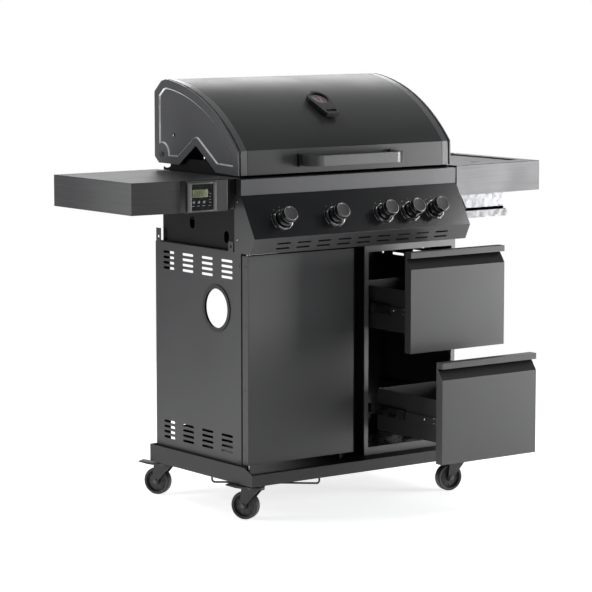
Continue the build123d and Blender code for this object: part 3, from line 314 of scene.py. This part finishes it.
FAMILY_MATERIALS = (
    ("burner_knob_", PLASTIC), ("display_button_", BUTTON_PLASTIC), ("caster_fork_", FORK_PAINT),
    ("caster_wheel_", WHEEL_PLASTIC), ("caster_brake_", PLASTIC),
)


# Faces of a drawer front that lie in its finger recess, which get a painted shadow: how far behind the front,
# how far below the top.
RECESS_NEAR = 4 * MM
RECESS_FAR = 21 * MM
RECESS_TALL = 48 * MM


def dress_frame():
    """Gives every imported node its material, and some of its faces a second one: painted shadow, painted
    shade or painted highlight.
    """
    for node, obj in frame["nodes"].items():
        material = NODE_MATERIALS.get(node)
        for prefix, family in FAMILY_MATERIALS:
            if node.startswith(prefix):
                material = family
        obj.data.materials.clear()
        obj.data.materials.append(material)
        # the finger recess faces get the near-black paint: painted shadow
        if node.endswith("_drawer_front"):
            obj.data.materials.append(RECESS_SHADOW_PAINT)
            low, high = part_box(node)
            for face in obj.data.polygons:
                behind = face.center.y - low[1]
                sunk = RECESS_NEAR < behind < RECESS_FAR and face.center.z > high[2] - RECESS_TALL
                face.material_index = 1 if sunk and (face.normal.y < -0.2 or face.normal.z < -0.5) else 0
        # the base tray's flat top and bottom faces are painted deep black: painted shade where the tray lies
        # in shadow
        if node == "base_tray":
            obj.data.materials.append(DEEP_BLACK)
            for face in obj.data.polygons:
                face.material_index = 1 if abs(face.normal.z) > 0.9 else 0
        # the slanted walls of the lid ends get the light plated finish: painted highlight
        if node.startswith("lid_end_"):
            obj.data.materials.append(CASTING_EDGE_HIGHLIGHT)
            for face in obj.data.polygons:
                slanted = 0.45 < abs(face.normal.x) < 0.95
                face.material_index = 1 if slanted else 0


# Shape helpers --------------------------------------------------------------------
def axes(origin, normal, across=(1.0, 0.0, 0.0)):
    """Matrix at origin with Z along normal and X near `across`."""
    z = Vector(normal).normalized()
    y = z.cross(Vector(across)).normalized()
    x = y.cross(z)
    matrix = Matrix((x, y, z)).transposed().to_4x4()
    matrix.translation = Vector(origin)
    return matrix


def finish_piece(name, bm, material, body, sharp=35.0):
    """Turns a bmesh into a piece that rides on a body."""
    bmesh.ops.recalc_face_normals(bm, faces=bm.faces)
    mesh = bpy.data.meshes.new(name)
    bm.to_mesh(mesh)
    bm.free()
    for polygon in mesh.polygons:
        polygon.use_smooth = True
    mesh.set_sharp_from_angle(angle=math.radians(sharp))
    obj = bpy.data.objects.new(name, mesh)
    bpy.context.scene.collection.objects.link(obj)
    for one in material if isinstance(material, (list, tuple)) else [material]:
        mesh.materials.append(one)
    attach(obj, body)
    return obj


def turn(bm, profile, place, steps=48, wave=None, paint_index=0):
    """Revolves (radius, height) points about Z of `place`; wave(angle, height) shrinks the radius."""
    rings = []
    for index in range(steps):
        angle = 2.0 * math.pi * index / steps
        ring = []
        for radius, height in profile:
            reach = radius - (wave(angle, height) if wave and radius > 0 else 0.0)
            point = Vector((reach * math.cos(angle), reach * math.sin(angle), height))
            ring.append(bm.verts.new(place @ point))
        rings.append(ring)
    for index in range(steps):
        here, there = rings[index], rings[(index + 1) % steps]
        for row in range(len(profile) - 1):
            corners = (here[row], there[row], there[row + 1], here[row + 1])
            face = bm.faces.new(corners)
            face.material_index = paint_index
    bmesh.ops.remove_doubles(bm, verts=bm.verts, dist=1e-7)


def block(bm, low, high, place=None, soften=0.0, paint_index=0):
    """A box between two corners with softened edges."""
    place = place or Matrix.Identity(4)
    low, high = Vector(low), Vector(high)
    made = bmesh.ops.create_cube(bm, size=1.0)["verts"]
    for vert in made:
        vert.co = Vector([low[i] + (high[i] - low[i]) * (vert.co[i] + 0.5) for i in range(3)])
    faces = {face for vert in made for face in vert.link_faces}
    if soften:
        edges = list({edge for vert in made for edge in vert.link_edges})
        result = bmesh.ops.bevel(bm, geom=edges, offset=soften, segments=2, profile=0.6, affect="EDGES")
        faces = set(result["faces"]) | {face for face in faces if face.is_valid}
    for face in faces:
        face.material_index = paint_index
    for vert in {vert for face in faces for vert in face.verts}:
        vert.co = place @ vert.co


def outline_plate(bm, points, low, high, place, paint_index=0):
    """A plate with the given (x, y) outline, between two heights."""
    bottom = [bm.verts.new(place @ Vector((x, y, low))) for x, y in points]
    top = [bm.verts.new(place @ Vector((x, y, high))) for x, y in points]
    faces = [bm.faces.new(top), bm.faces.new(bottom[::-1])]
    count = len(points)
    for index in range(count):
        after = (index + 1) % count
        faces.append(bm.faces.new((bottom[index], bottom[after], top[after], top[index])))
    for face in faces:
        face.material_index = paint_index


def arc_band(bm, radius, width, start, stop, low, high, place, steps=40, paint_index=0):
    """A flat printed arc between two angles in degrees."""
    outer, inner = [], []
    for index in range(steps + 1):
        angle = math.radians(start + (stop - start) * index / steps)
        outer.append(((radius + width / 2) * math.cos(angle), (radius + width / 2) * math.sin(angle)))
        inner.append(((radius - width / 2) * math.cos(angle), (radius - width / 2) * math.sin(angle)))
    for index in range(steps):
        quad = [inner[index], outer[index], outer[index + 1], inner[index + 1]]
        outline_plate(bm, quad, low, high, place, paint_index)


def screw(bm, point, normal, radius=3.6 * MM, tall=2.0 * MM):
    """Pan-head screw sitting on the surface at point, with its cross recess drawn as raised black bars:
    painted shade for the sunk slots.
    """
    place = axes(point, normal, (0.2, 0.3, 0.93))
    profile = [(0.0, tall), (radius * 0.45, tall * 0.98), (radius * 0.8, tall * 0.8), (radius, tall * 0.35),
               (radius, 0.0), (0.0, 0.0)]
    turn(bm, profile, place, 20)
    # the cross recess is black bars on the head: painted shade
    arm = radius * 0.55
    for turned in (0.0, math.pi / 2):
        slot = place @ Matrix.Rotation(turned, 4, "Z")
        block(bm, (-arm, -radius * 0.11, tall * 0.94), (arm, radius * 0.11, tall * 1.02), slot, 0.0, 1)


def screws(name, places, body, material=None, radius=3.6 * MM, tall=2.0 * MM):
    """A group of equal screws that ride on one body."""
    bm = bmesh.new()
    for point, normal in places:
        screw(bm, point, normal, radius, tall)
    return finish_piece(name, bm, [material or ZINC, DEEP_BLACK], body)


# Knobs and the printing round them ---------------------------------------------------
KNOB_TALL = 41 * MM
CAP_RADIUS = 22 * MM
GRIP_RADIUS = 19.5 * MM
SKIRT_RADIUS = 21.5 * MM
GRIP_LOW = 14 * MM
GRIP_HIGH = 24 * MM


def grip_wave(angle, height):
    """Shallow flutes round the waist of a knob."""
    if GRIP_LOW - MM < height < GRIP_HIGH + MM:
        return 0.5 * MM * (1.0 - abs(math.cos(14.0 * angle)))
    return 0.0


def knob(number):
    """Skirt with a plated band, fluted waist and cap with a plated ring, a dished face and a white dot."""
    joint = JOINTS[f"knob_{number}_turn"]
    place = axes(joint["pos_m"], joint["axis"])
    bm = bmesh.new()
    body = [(0.0, 5 * MM), (SKIRT_RADIUS - MM, 5 * MM), (SKIRT_RADIUS, 6 * MM), (SKIRT_RADIUS, 11 * MM),
            (SKIRT_RADIUS - 0.8 * MM, 12.5 * MM), (GRIP_RADIUS, GRIP_LOW), (GRIP_RADIUS, 19 * MM),
            (GRIP_RADIUS, GRIP_HIGH), (CAP_RADIUS - 0.5 * MM, 26.5 * MM), (CAP_RADIUS, 27.5 * MM),
            (CAP_RADIUS, KNOB_TALL - 3.4 * MM), (CAP_RADIUS - 1.4 * MM, KNOB_TALL - 1.2 * MM),
            (CAP_RADIUS - 3.6 * MM, KNOB_TALL - 0.9 * MM), (CAP_RADIUS - 4.2 * MM, KNOB_TALL - 1.5 * MM)]
    turn(bm, body, place, 112, grip_wave)
    turn(bm, [(CAP_RADIUS - 4.2 * MM, KNOB_TALL - 1.5 * MM), (CAP_RADIUS - 6.0 * MM, KNOB_TALL - 1.8 * MM),
              (0.0, KNOB_TALL - 1.4 * MM)], place, 96, None, 4)
    rim = [(CAP_RADIUS - 2.0 * MM, KNOB_TALL - 1.2 * MM), (CAP_RADIUS - 2.3 * MM, KNOB_TALL - 0.7 * MM),
           (CAP_RADIUS - 3.0 * MM, KNOB_TALL - 0.5 * MM), (CAP_RADIUS - 3.7 * MM, KNOB_TALL - 1.1 * MM)]
    turn(bm, rim, place, 96, None, 5)
    for radius, middle, half, coat in ((CAP_RADIUS, 28.6 * MM, 0.5 * MM, 5),
                                       (SKIRT_RADIUS, 8.0 * MM, 2.4 * MM, 1)):
        ring = [(radius - 0.4 * MM, middle - half), (radius + 0.2 * MM, middle - 0.6 * half),
                (radius + 0.3 * MM, middle), (radius + 0.2 * MM, middle + 0.6 * half),
                (radius - 0.4 * MM, middle + half)]
        turn(bm, ring, place, 96, None, coat)
    dot = place @ Matrix.Translation((0, CAP_RADIUS - 4.8 * MM, 0))
    mark = [(0.0, KNOB_TALL - 0.3 * MM), (1.2 * MM, KNOB_TALL - 0.4 * MM),
            (1.6 * MM, KNOB_TALL - 1.8 * MM)]
    turn(bm, mark, dot, 20, None, 2)
    stem = [(0.0, -8 * MM), (3.6 * MM, -8 * MM), (4 * MM, -7.4 * MM), (4 * MM, 6 * MM)]
    turn(bm, stem, place, 32, None, 3)
    coats = [GLOSS_PLASTIC, DARK_CHROME, PRINT_WHITE, RAIL_STEEL, CAP_FACE, KNOB_RING]
    piece = finish_piece(f"knob_{number}_detail", bm, coats, f"knob_{number}")
    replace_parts(piece, f"burner_knob_{number}")


def knob_print(number):
    """The marks printed on the panel round one knob: off dot, flames and a tapering arc."""
    joint = JOINTS[f"knob_{number}_turn"]
    place = axes(joint["pos_m"], joint["axis"])
    bm = bmesh.new()
    low, high = -0.05 * MM, 0.12 * MM
    for angle, size in ((125, 1.5), (90, 0.8), (215, 1.1)):
        reach = 36 * MM
        centre = place @ Matrix.Translation((reach * math.cos(math.radians(angle)),
                                             reach * math.sin(math.radians(angle)), 0))
        turn(bm, [(0.0, high), (size * MM, high), (size * MM, low)], centre, 16)
    for step in range(4):
        start = 150 + 17 * step
        arc_band(bm, 35.5 * MM, (0.5 + 0.25 * step) * MM, start, start + 13, low, high, place, 10)
    finish_piece(f"knob_{number}_marks", bm, PRINT_GREY, "cabinet")


def bezel(number):
    """Ring round a knob: a thin plated edge, a dark slope, a plated crown and a dark well."""
    joint = JOINTS[f"knob_{number}_turn"]
    place = axes(joint["pos_m"], joint["axis"])
    bm = bmesh.new()
    edge = [(29.5 * MM, 0.0), (29.5 * MM, 0.5 * MM), (29.2 * MM, 0.9 * MM), (28.9 * MM, 0.9 * MM)]
    slope = [(28.9 * MM, 0.9 * MM), (28.0 * MM, 1.2 * MM), (27.8 * MM, 1.8 * MM)]
    crown = [(27.8 * MM, 1.8 * MM), (27.7 * MM, 3.0 * MM), (27.0 * MM, 3.8 * MM), (26.0 * MM, 4.0 * MM),
             (25.2 * MM, 3.6 * MM)]
    well = [(25.2 * MM, 3.6 * MM), (24.6 * MM, 2.4 * MM), (22.9 * MM, 2.2 * MM), (22.5 * MM, 0.0)]
    for profile, coat in ((edge, 0), (slope, 1), (crown, 0), (well, 1)):
        turn(bm, profile, place, 96, None, coat)
    return finish_piece(f"knob_{number}_bezel", bm, [DARK_CHROME, GLOSS_PLASTIC], "cabinet")


# Lid gauge -------------------------------------------------------------------------
def gauge():
    """Dial face with ticks, a red zone and a grey zone, and the gloss ring round it."""
    joint = JOINTS["needle_turn"]
    place = axes(joint["pos_m"], joint["axis"])
    well = 8.4 * MM
    top = 15.4 * MM
    tick_reach = 23.2 * MM
    zone_radius = 15.5 * MM
    zone_width = 5.0 * MM
    bm = bmesh.new()
    turn(bm, [(0.0, well + 0.35 * MM), (24.8 * MM, well + 0.35 * MM), (25.2 * MM, well)], place, 64)
    for step in range(25):
        angle = math.radians(225 - 270 * step / 24)
        length = 4.2 * MM if step % 4 == 0 else 2.4 * MM
        mark = place @ Matrix.Rotation(angle, 4, "Z")
        block(bm, (tick_reach - length, -0.28 * MM, well + 0.3 * MM),
              (tick_reach, 0.28 * MM, well + 0.5 * MM), mark, 0.0, 1)
    arc_band(bm, zone_radius, zone_width, -45, 25, well + 0.3 * MM, well + 0.5 * MM, place, 20, 2)
    arc_band(bm, zone_radius, zone_width, 30, 150, well + 0.3 * MM, well + 0.45 * MM, place, 24, 3)
    finish_piece("gauge_dial", bm, [DIAL_GREY, PRINT_WHITE, PRINT_RED, PRINT_GREY], "lid")
    bm = bmesh.new()
    turn(bm, [(25.4 * MM, top - 3 * MM), (25.2 * MM, top - 0.2 * MM), (26.4 * MM, top + 0.1 * MM),
              (29.5 * MM, top - 0.1 * MM), (31.4 * MM, top - 0.4 * MM)], place, 96)
    finish_piece("gauge_rim", bm, GLOSS_PLASTIC, "lid")


# Temperature display ---------------------------------------------------------------
WINDOW_LEFT, WINDOW_RIGHT = -0.5205, -0.4525
WINDOW_LOW, WINDOW_TOP = 0.8195, 0.8873
FACE_GAP = 0.7 * MM
SURROUND_RIGHT = -0.443
SCREEN_LEFT, SCREEN_RIGHT = -0.517, -0.469
SCREEN_LOW, SCREEN_TOP = 0.853, 0.873
DIGITS_LOW = 0.8565
BIG_DIGITS_LEFT, BIG_DIGITS_STEP = -0.512, 0.0105
SMALL_DIGITS_LEFT, SMALL_DIGITS_STEP = -0.479, 0.0045
CAPTION_PLACES = (-0.514, -0.498, -0.482, -0.463)
CAPTION_LOW, CAPTION_TOP = 0.8305, 0.8318
STRIPE_LEFT, STRIPE_RIGHT = -0.4655, -0.4585
STRIPE_LOW, STRIPE_STEP = 0.8385, 7.5 * MM
SEGMENTS = {"0": "abcdef", "1": "bc", "2": "abged", "5": "afgcd", "8": "abcdefg"}


def digit(bm, value, x, z, wide, tall, y, paint_index):
    """A seven-segment digit drawn with bars on a plane of constant y."""
    bar = wide * 0.16
    half = tall / 2
    bars = {"a": (0, tall - bar, wide, tall), "d": (0, 0, wide, bar),
            "g": (0, half - bar / 2, wide, half + bar / 2),
            "f": (0, half, bar, tall), "e": (0, 0, bar, half), "b": (wide - bar, half, wide, tall),
            "c": (wide - bar, 0, wide, half)}
    for key in SEGMENTS[value]:
        x0, z0, x1, z1 = bars[key]
        block(bm, (x + x0, y, z + z0), (x + x1, y + 0.3 * MM, z + z1), None, 0.0, paint_index)


def display():
    """Black face, screen with digits, printed captions and a silver surround."""
    low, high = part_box("display_housing")
    front = low[1]
    face = front + 1.6 * MM
    bm = bmesh.new()
    block(bm, (WINDOW_LEFT + FACE_GAP, face - 0.35 * MM, WINDOW_LOW + FACE_GAP),
          (WINDOW_RIGHT - FACE_GAP, face + 0.1 * MM, WINDOW_TOP - FACE_GAP))
    finish_piece("display_face", bm, GLOSS_PLASTIC, "cabinet")
    bm = bmesh.new()
    screen = face - 0.6 * MM
    ink = screen - 0.25 * MM
    block(bm, (SCREEN_LEFT, screen, SCREEN_LOW), (SCREEN_RIGHT, face, SCREEN_TOP), None, 0.25 * MM)
    for index, value in enumerate("205"):
        left = BIG_DIGITS_LEFT + BIG_DIGITS_STEP * index
        digit(bm, value, left, DIGITS_LOW, 6.6 * MM, 12.5 * MM, ink, 1)
    for index, value in enumerate("80"):
        left = SMALL_DIGITS_LEFT + SMALL_DIGITS_STEP * index
        digit(bm, value, left, DIGITS_LOW, 3.0 * MM, 5.5 * MM, ink, 1)
    finish_piece("display_screen", bm, [LCD_GREEN, LCD_DARK], "cabinet")
    bm = bmesh.new()
    for x in CAPTION_PLACES:
        for step in range(3):
            left = x - 4 * MM + step * 2.8 * MM
            block(bm, (left, face - 0.5 * MM, CAPTION_LOW), (left + 1.8 * MM, face - 0.3 * MM, CAPTION_TOP))
    for step in range(4):
        foot = STRIPE_LOW + STRIPE_STEP * step
        block(bm, (STRIPE_LEFT, face - 0.5 * MM, foot), (STRIPE_RIGHT, face - 0.3 * MM, foot + MM))
    finish_piece("display_captions", bm, PRINT_GREY, "cabinet")
    bm = bmesh.new()
    outer = ((low[0] + 2 * MM, low[2] + 2 * MM), (SURROUND_RIGHT, high[2] - 4.3 * MM))
    inner = ((WINDOW_LEFT, WINDOW_LOW), (WINDOW_RIGHT, WINDOW_TOP))
    depth = (front + 0.1 * MM, front + 2.6 * MM)
    bars = (((outer[0][0], outer[0][1]), (inner[0][0], outer[1][1])),
            ((inner[1][0], outer[0][1]), (outer[1][0], outer[1][1])),
            ((inner[0][0], outer[0][1]), (inner[1][0], inner[0][1])),
            ((inner[0][0], inner[1][1]), (inner[1][0], outer[1][1])))
    for (x0, z0), (x1, z1) in bars:
        block(bm, (x0, depth[0] - 0.4 * MM, z0), (x1, depth[1], z1), None, 0.8 * MM)
    finish_piece("display_surround", bm, SILVER_PLASTIC, "cabinet")


# Screws, rivets and hidden sheets ----------------------------------------------------
FRONT_EDGE_SCREWS = (0.150, 0.665)
REAR_EDGE_SCREWS = (0.150, 0.400, 0.665)
PANEL_END_SCREWS = (0.735, 0.835)
LID_RIVET_FORWARD = 53.7 * MM
LID_RIVET_HEIGHT = 0.9925


def hardware():
    """Screws and rivets where the sheets meet."""
    door_low, door_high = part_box("door")
    middle = (door_low[1] + door_high[1]) / 2
    span = door_high[2] - door_low[2]
    places = [((door_low[0], middle, door_low[2] + span * share), (-1, 0, 0))
              for share in (0.07, 0.36, 0.66, 0.95)]
    screws("door_screws", places, "cabinet_door", GRAPHITE, 2.4 * MM, 0.9 * MM)
    for side, node in ((-1, "left_side_panel"), (1, "right_side_panel")):
        low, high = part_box(node)
        x = low[0] if side < 0 else high[0]
        edge = [((x, low[1] + 8 * MM, z), (side, 0, 0)) for z in FRONT_EDGE_SCREWS]
        edge += [((x, high[1] - 8 * MM, z), (side, 0, 0)) for z in REAR_EDGE_SCREWS]
        screws(f"{node}_screws", edge, "cabinet", GRAPHITE, 2.6 * MM, 1.0 * MM)
    panel_low, panel_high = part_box("control_panel")
    for side in (-1, 1):
        x = panel_low[0] if side < 0 else panel_high[0]
        word = "left" if side < 0 else "right"
        places = [((x, panel_high[1] - 12 * MM, z), (side, 0, 0)) for z in PANEL_END_SCREWS]
        screws(f"control_panel_{word}_screws", places, "cabinet", DARK_CHROME, 3.2 * MM, 1.4 * MM)
    for word in ("left", "right"):
        low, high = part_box(f"lid_end_{word}")
        side = -1 if word == "left" else 1
        x = low[0] if side < 0 else high[0]
        hinge = JOINTS["lid_hinge"]["pos_m"]
        places = [((x, hinge[1] - LID_RIVET_FORWARD, LID_RIVET_HEIGHT), (side, 0, 0))]
        screws(f"lid_{word}_rivet", places, "lid", DARK_CHROME, 4.6 * MM, 1.8 * MM)


def drawer_details(word):
    """Rivets and bearing retainers of one drawer's slides."""
    low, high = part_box(f"{word}_drawer_box")
    middle = (low[2] + high[2]) / 2
    bm = bmesh.new()
    for side, x in ((-1, low[0]), (1, high[0])):
        for share in (0.06, 0.3, 0.62, 0.94):
            y = low[1] + (high[1] - low[1]) * share
            place = axes((x, y, middle), (side, 0, 0), (0, 1, 0))
            rivet = [(0.0, 1.2 * MM), (2.0 * MM, 1.0 * MM), (3.2 * MM, 0.3 * MM), (3.3 * MM, -0.2 * MM)]
            turn(bm, rivet, place, 18)
    for side, x in ((-1, low[0]), (1, high[0])):
        for step in range(3):
            y = low[1] + (26 + 9 * step) * MM
            for z in (middle - 8.6 * MM, middle + 5.0 * MM):
                block(bm, (x - 0.6 * MM, y, z), (x + 0.6 * MM, y + 5 * MM, z + 3.6 * MM), None, 0.3 * MM)
    finish_piece(f"{word}_drawer_rivets", bm, CHROME, f"{word}_drawer")


BAY_LEFT = 0.044
BAY_FLOOR_DEPTH = 308 * MM


def bay_gussets():
    """Two small corner plates at the top of the drawer bay's right wall, and its floor sheet."""
    low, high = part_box("right_side_panel")
    bm = bmesh.new()
    x = high[0] - 2.1 * MM
    for share in (0.16, 0.62):
        y = low[1] + (high[1] - low[1]) * share
        front, rear = y - 34 * MM, y + 34 * MM
        block(bm, (x - 1.2 * MM, front, high[2] - 96 * MM), (x, rear, high[2] - 30 * MM), None, 0.4 * MM)
        block(bm, (x - 8 * MM, front, high[2] - 97 * MM), (x, rear, high[2] - 96 * MM), None, 0.3 * MM)
    finish_piece("bay_gussets", bm, DEEP_BLACK, "cabinet")
    floor_top = low[2] + 0.3 * MM
    bm = bmesh.new()
    block(bm, (BAY_LEFT, low[1] + 14 * MM, floor_top),
          (high[0] - 4 * MM, low[1] + BAY_FLOOR_DEPTH, floor_top + 0.8 * MM), None, 0.3 * MM)
    finish_piece("bay_floor_sheet", bm, BAY_FLOOR, "cabinet")


def hollow_shade_sheet():
    """Black sheet in the control panel's hollow, behind its row of slots: painted shade that darkens the
    hollow.
    """
    low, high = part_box("control_panel")
    bm = bmesh.new()
    block(bm, (low[0] + 6 * MM, low[1] + 42 * MM, low[2] + 2.5 * MM),
          (high[0] - 6 * MM, low[1] + 43 * MM, low[2] + 46 * MM), None, 0.4 * MM)
    for x in (low[0] + 6 * MM, high[0] - 7 * MM):
        block(bm, (x, low[1] + 43 * MM, low[2] + 2.5 * MM),
              (x + MM, low[1] + 58 * MM, low[2] + 46 * MM), None, 0.3 * MM)
    finish_piece("control_panel_shade_sheet", bm, DEEP_BLACK, "cabinet")


# Casters -----------------------------------------------------------------------------
def caster_details(name):
    """Tread ring, wheel ribs and axle nuts of one caster."""
    joint = JOINTS[f"roll_{name}"]
    place = axes(joint["pos_m"], joint["axis"], (0, 0, 1))
    bm = bmesh.new()
    half = 12 * MM
    tyre = [(33.6 * MM, -half), (35.4 * MM, -half + 0.6 * MM), (36.9 * MM, -half + 3 * MM),
            (37.45 * MM, -4 * MM), (37.45 * MM, 4 * MM), (36.9 * MM, half - 3 * MM),
            (35.4 * MM, half - 0.6 * MM), (33.6 * MM, half)]
    turn(bm, tyre, place, 72)
    spokes = 8
    for side in (-1, 1):
        for index in range(spokes):
            rib = place @ Matrix.Rotation(2 * math.pi * index / spokes, 4, "Z")
            web = side * 4.2 * MM
            block(bm, (11 * MM, -1.1 * MM, web - 0.8 * MM), (29 * MM, 1.1 * MM, web + 1.2 * MM),
                  rib, 0.4 * MM)
    finish_piece(f"caster_tread_{name}", bm, RUBBER, f"wheel_{name}")
    bm = bmesh.new()
    for side in (-1, 1):
        nut = place @ Matrix.Translation((0, 0, side * 18.2 * MM))
        if side < 0:
            nut = nut @ Matrix.Rotation(math.pi, 4, "X")
        hexagon = [(6.4 * MM * math.cos(math.radians(60 * k)), 6.4 * MM * math.sin(math.radians(60 * k)))
                   for k in range(6)]
        outline_plate(bm, hexagon, 0.0, 3.2 * MM, nut)
        turn(bm, [(0.0, 4.6 * MM), (2.6 * MM, 4.5 * MM), (3.6 * MM, 3.6 * MM), (3.6 * MM, 3.0 * MM)], nut, 24)
    finish_piece(f"caster_nuts_{name}", bm, RAIL_STEEL, f"fork_{name}")


# Stage -------------------------------------------------------------------------------
CAMERA_PLACE = (-4.2917, -5.5798, 1.4273)
CAMERA_AIM = (-0.0275, 0.1534, 0.5430)
CAMERA_LENS = 159.5
LIGHTS = (
    # name, place, aim, width, height, power
    ("overhead_softbox", (-1.0, 1.0, 3.4), (0.0, 0.0, 0.6), 1.6, 1.6, 30.0),
    ("overhead_right_fill", (2.1, 1.0, 3.2), (0.0, 0.0, 0.9), 2.0, 2.0, 5.0),
    ("high_right_softbox", (2.4, -1.3, 2.1), (0.1, 0.0, 0.9), 0.7, 0.7, 14.0),
    ("front_fill", (0.2, -3.6, 1.3), (0.0, 0.0, 0.5), 2.0, 1.0, 10.0),
    ("front_right_softbox", (2.5, -1.8, 0.55), (0.4, -0.2, 0.6), 0.7, 1.2, 54.0),
    ("rear_left_softbox", (-1.75, 0.8, 0.7), (-0.6, -0.1, 0.6), 0.5, 1.2, 13.0),
    ("rear_right_wall", (3.0, 4.0, 3.0), (0.0, 0.0, 0.9), 4.0, 1.6, 66.0),
)


def stage():
    """Pale floor, white surroundings, soft lights and the camera."""
    bm = bmesh.new()
    bmesh.ops.create_circle(bm, cap_ends=True, segments=96, radius=2.6)
    mesh = bpy.data.meshes.new("floor")
    bm.to_mesh(mesh)
    bm.free()
    mesh.materials.append(FLOOR_WHITE)
    floor = bpy.data.objects.new("floor", mesh)
    bpy.context.scene.collection.objects.link(floor)
    world = bpy.data.worlds.new("studio")
    bpy.context.scene.world = world
    world.use_nodes = True
    nodes, links = world.node_tree.nodes, world.node_tree.links
    nodes.clear()
    seen = nodes.new("ShaderNodeLightPath")
    dim = nodes.new("ShaderNodeBackground")
    dim.inputs["Color"].default_value = (0.9, 0.95, 1.0, 1.0)
    dim.inputs["Strength"].default_value = 0.12
    white = nodes.new("ShaderNodeBackground")
    white.inputs["Strength"].default_value = 1.0
    white.inputs["Color"].default_value = (1.0, 1.0, 1.0, 1.0)
    mix = nodes.new("ShaderNodeMixShader")
    output = nodes.new("ShaderNodeOutputWorld")
    links.new(seen.outputs["Is Camera Ray"], mix.inputs["Fac"])
    links.new(dim.outputs[0], mix.inputs[1])
    links.new(white.outputs[0], mix.inputs[2])
    links.new(mix.outputs[0], output.inputs["Surface"])
    for name, place, aim, width, height, power in LIGHTS:
        data = bpy.data.lights.new(name, "AREA")
        data.shape = "RECTANGLE"
        data.size, data.size_y = width, height
        data.energy = power
        lamp = bpy.data.objects.new(name, data)
        lamp.location = place
        lamp.rotation_euler = (Vector(aim) - Vector(place)).to_track_quat("-Z", "Y").to_euler()
        lamp.visible_camera = False
        bpy.context.scene.collection.objects.link(lamp)
    camera = bpy.data.cameras.new("camera")
    camera.lens = CAMERA_LENS
    camera.sensor_width = 36.0
    viewer = bpy.data.objects.new("camera", camera)
    viewer.location = CAMERA_PLACE
    viewer.rotation_euler = (Vector(CAMERA_AIM) - Vector(CAMERA_PLACE)).to_track_quat("-Z", "Y").to_euler()
    bpy.context.scene.collection.objects.link(viewer)
    bpy.context.scene.camera = viewer
    bpy.context.scene.view_settings.view_transform = "Standard"


dress_frame()
for number in range(1, 6):
    knob(number)
    knob_print(number)
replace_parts(bezel(1), "knob_bezels")
for number in range(2, 6):
    bezel(number)
gauge()
display()
hardware()
hollow_shade_sheet()
bay_gussets()
for word in ("top", "bottom"):
    drawer_details(word)
for name in ("front_left", "front_right", "rear_left", "rear_right"):
    caster_details(name)
stage()
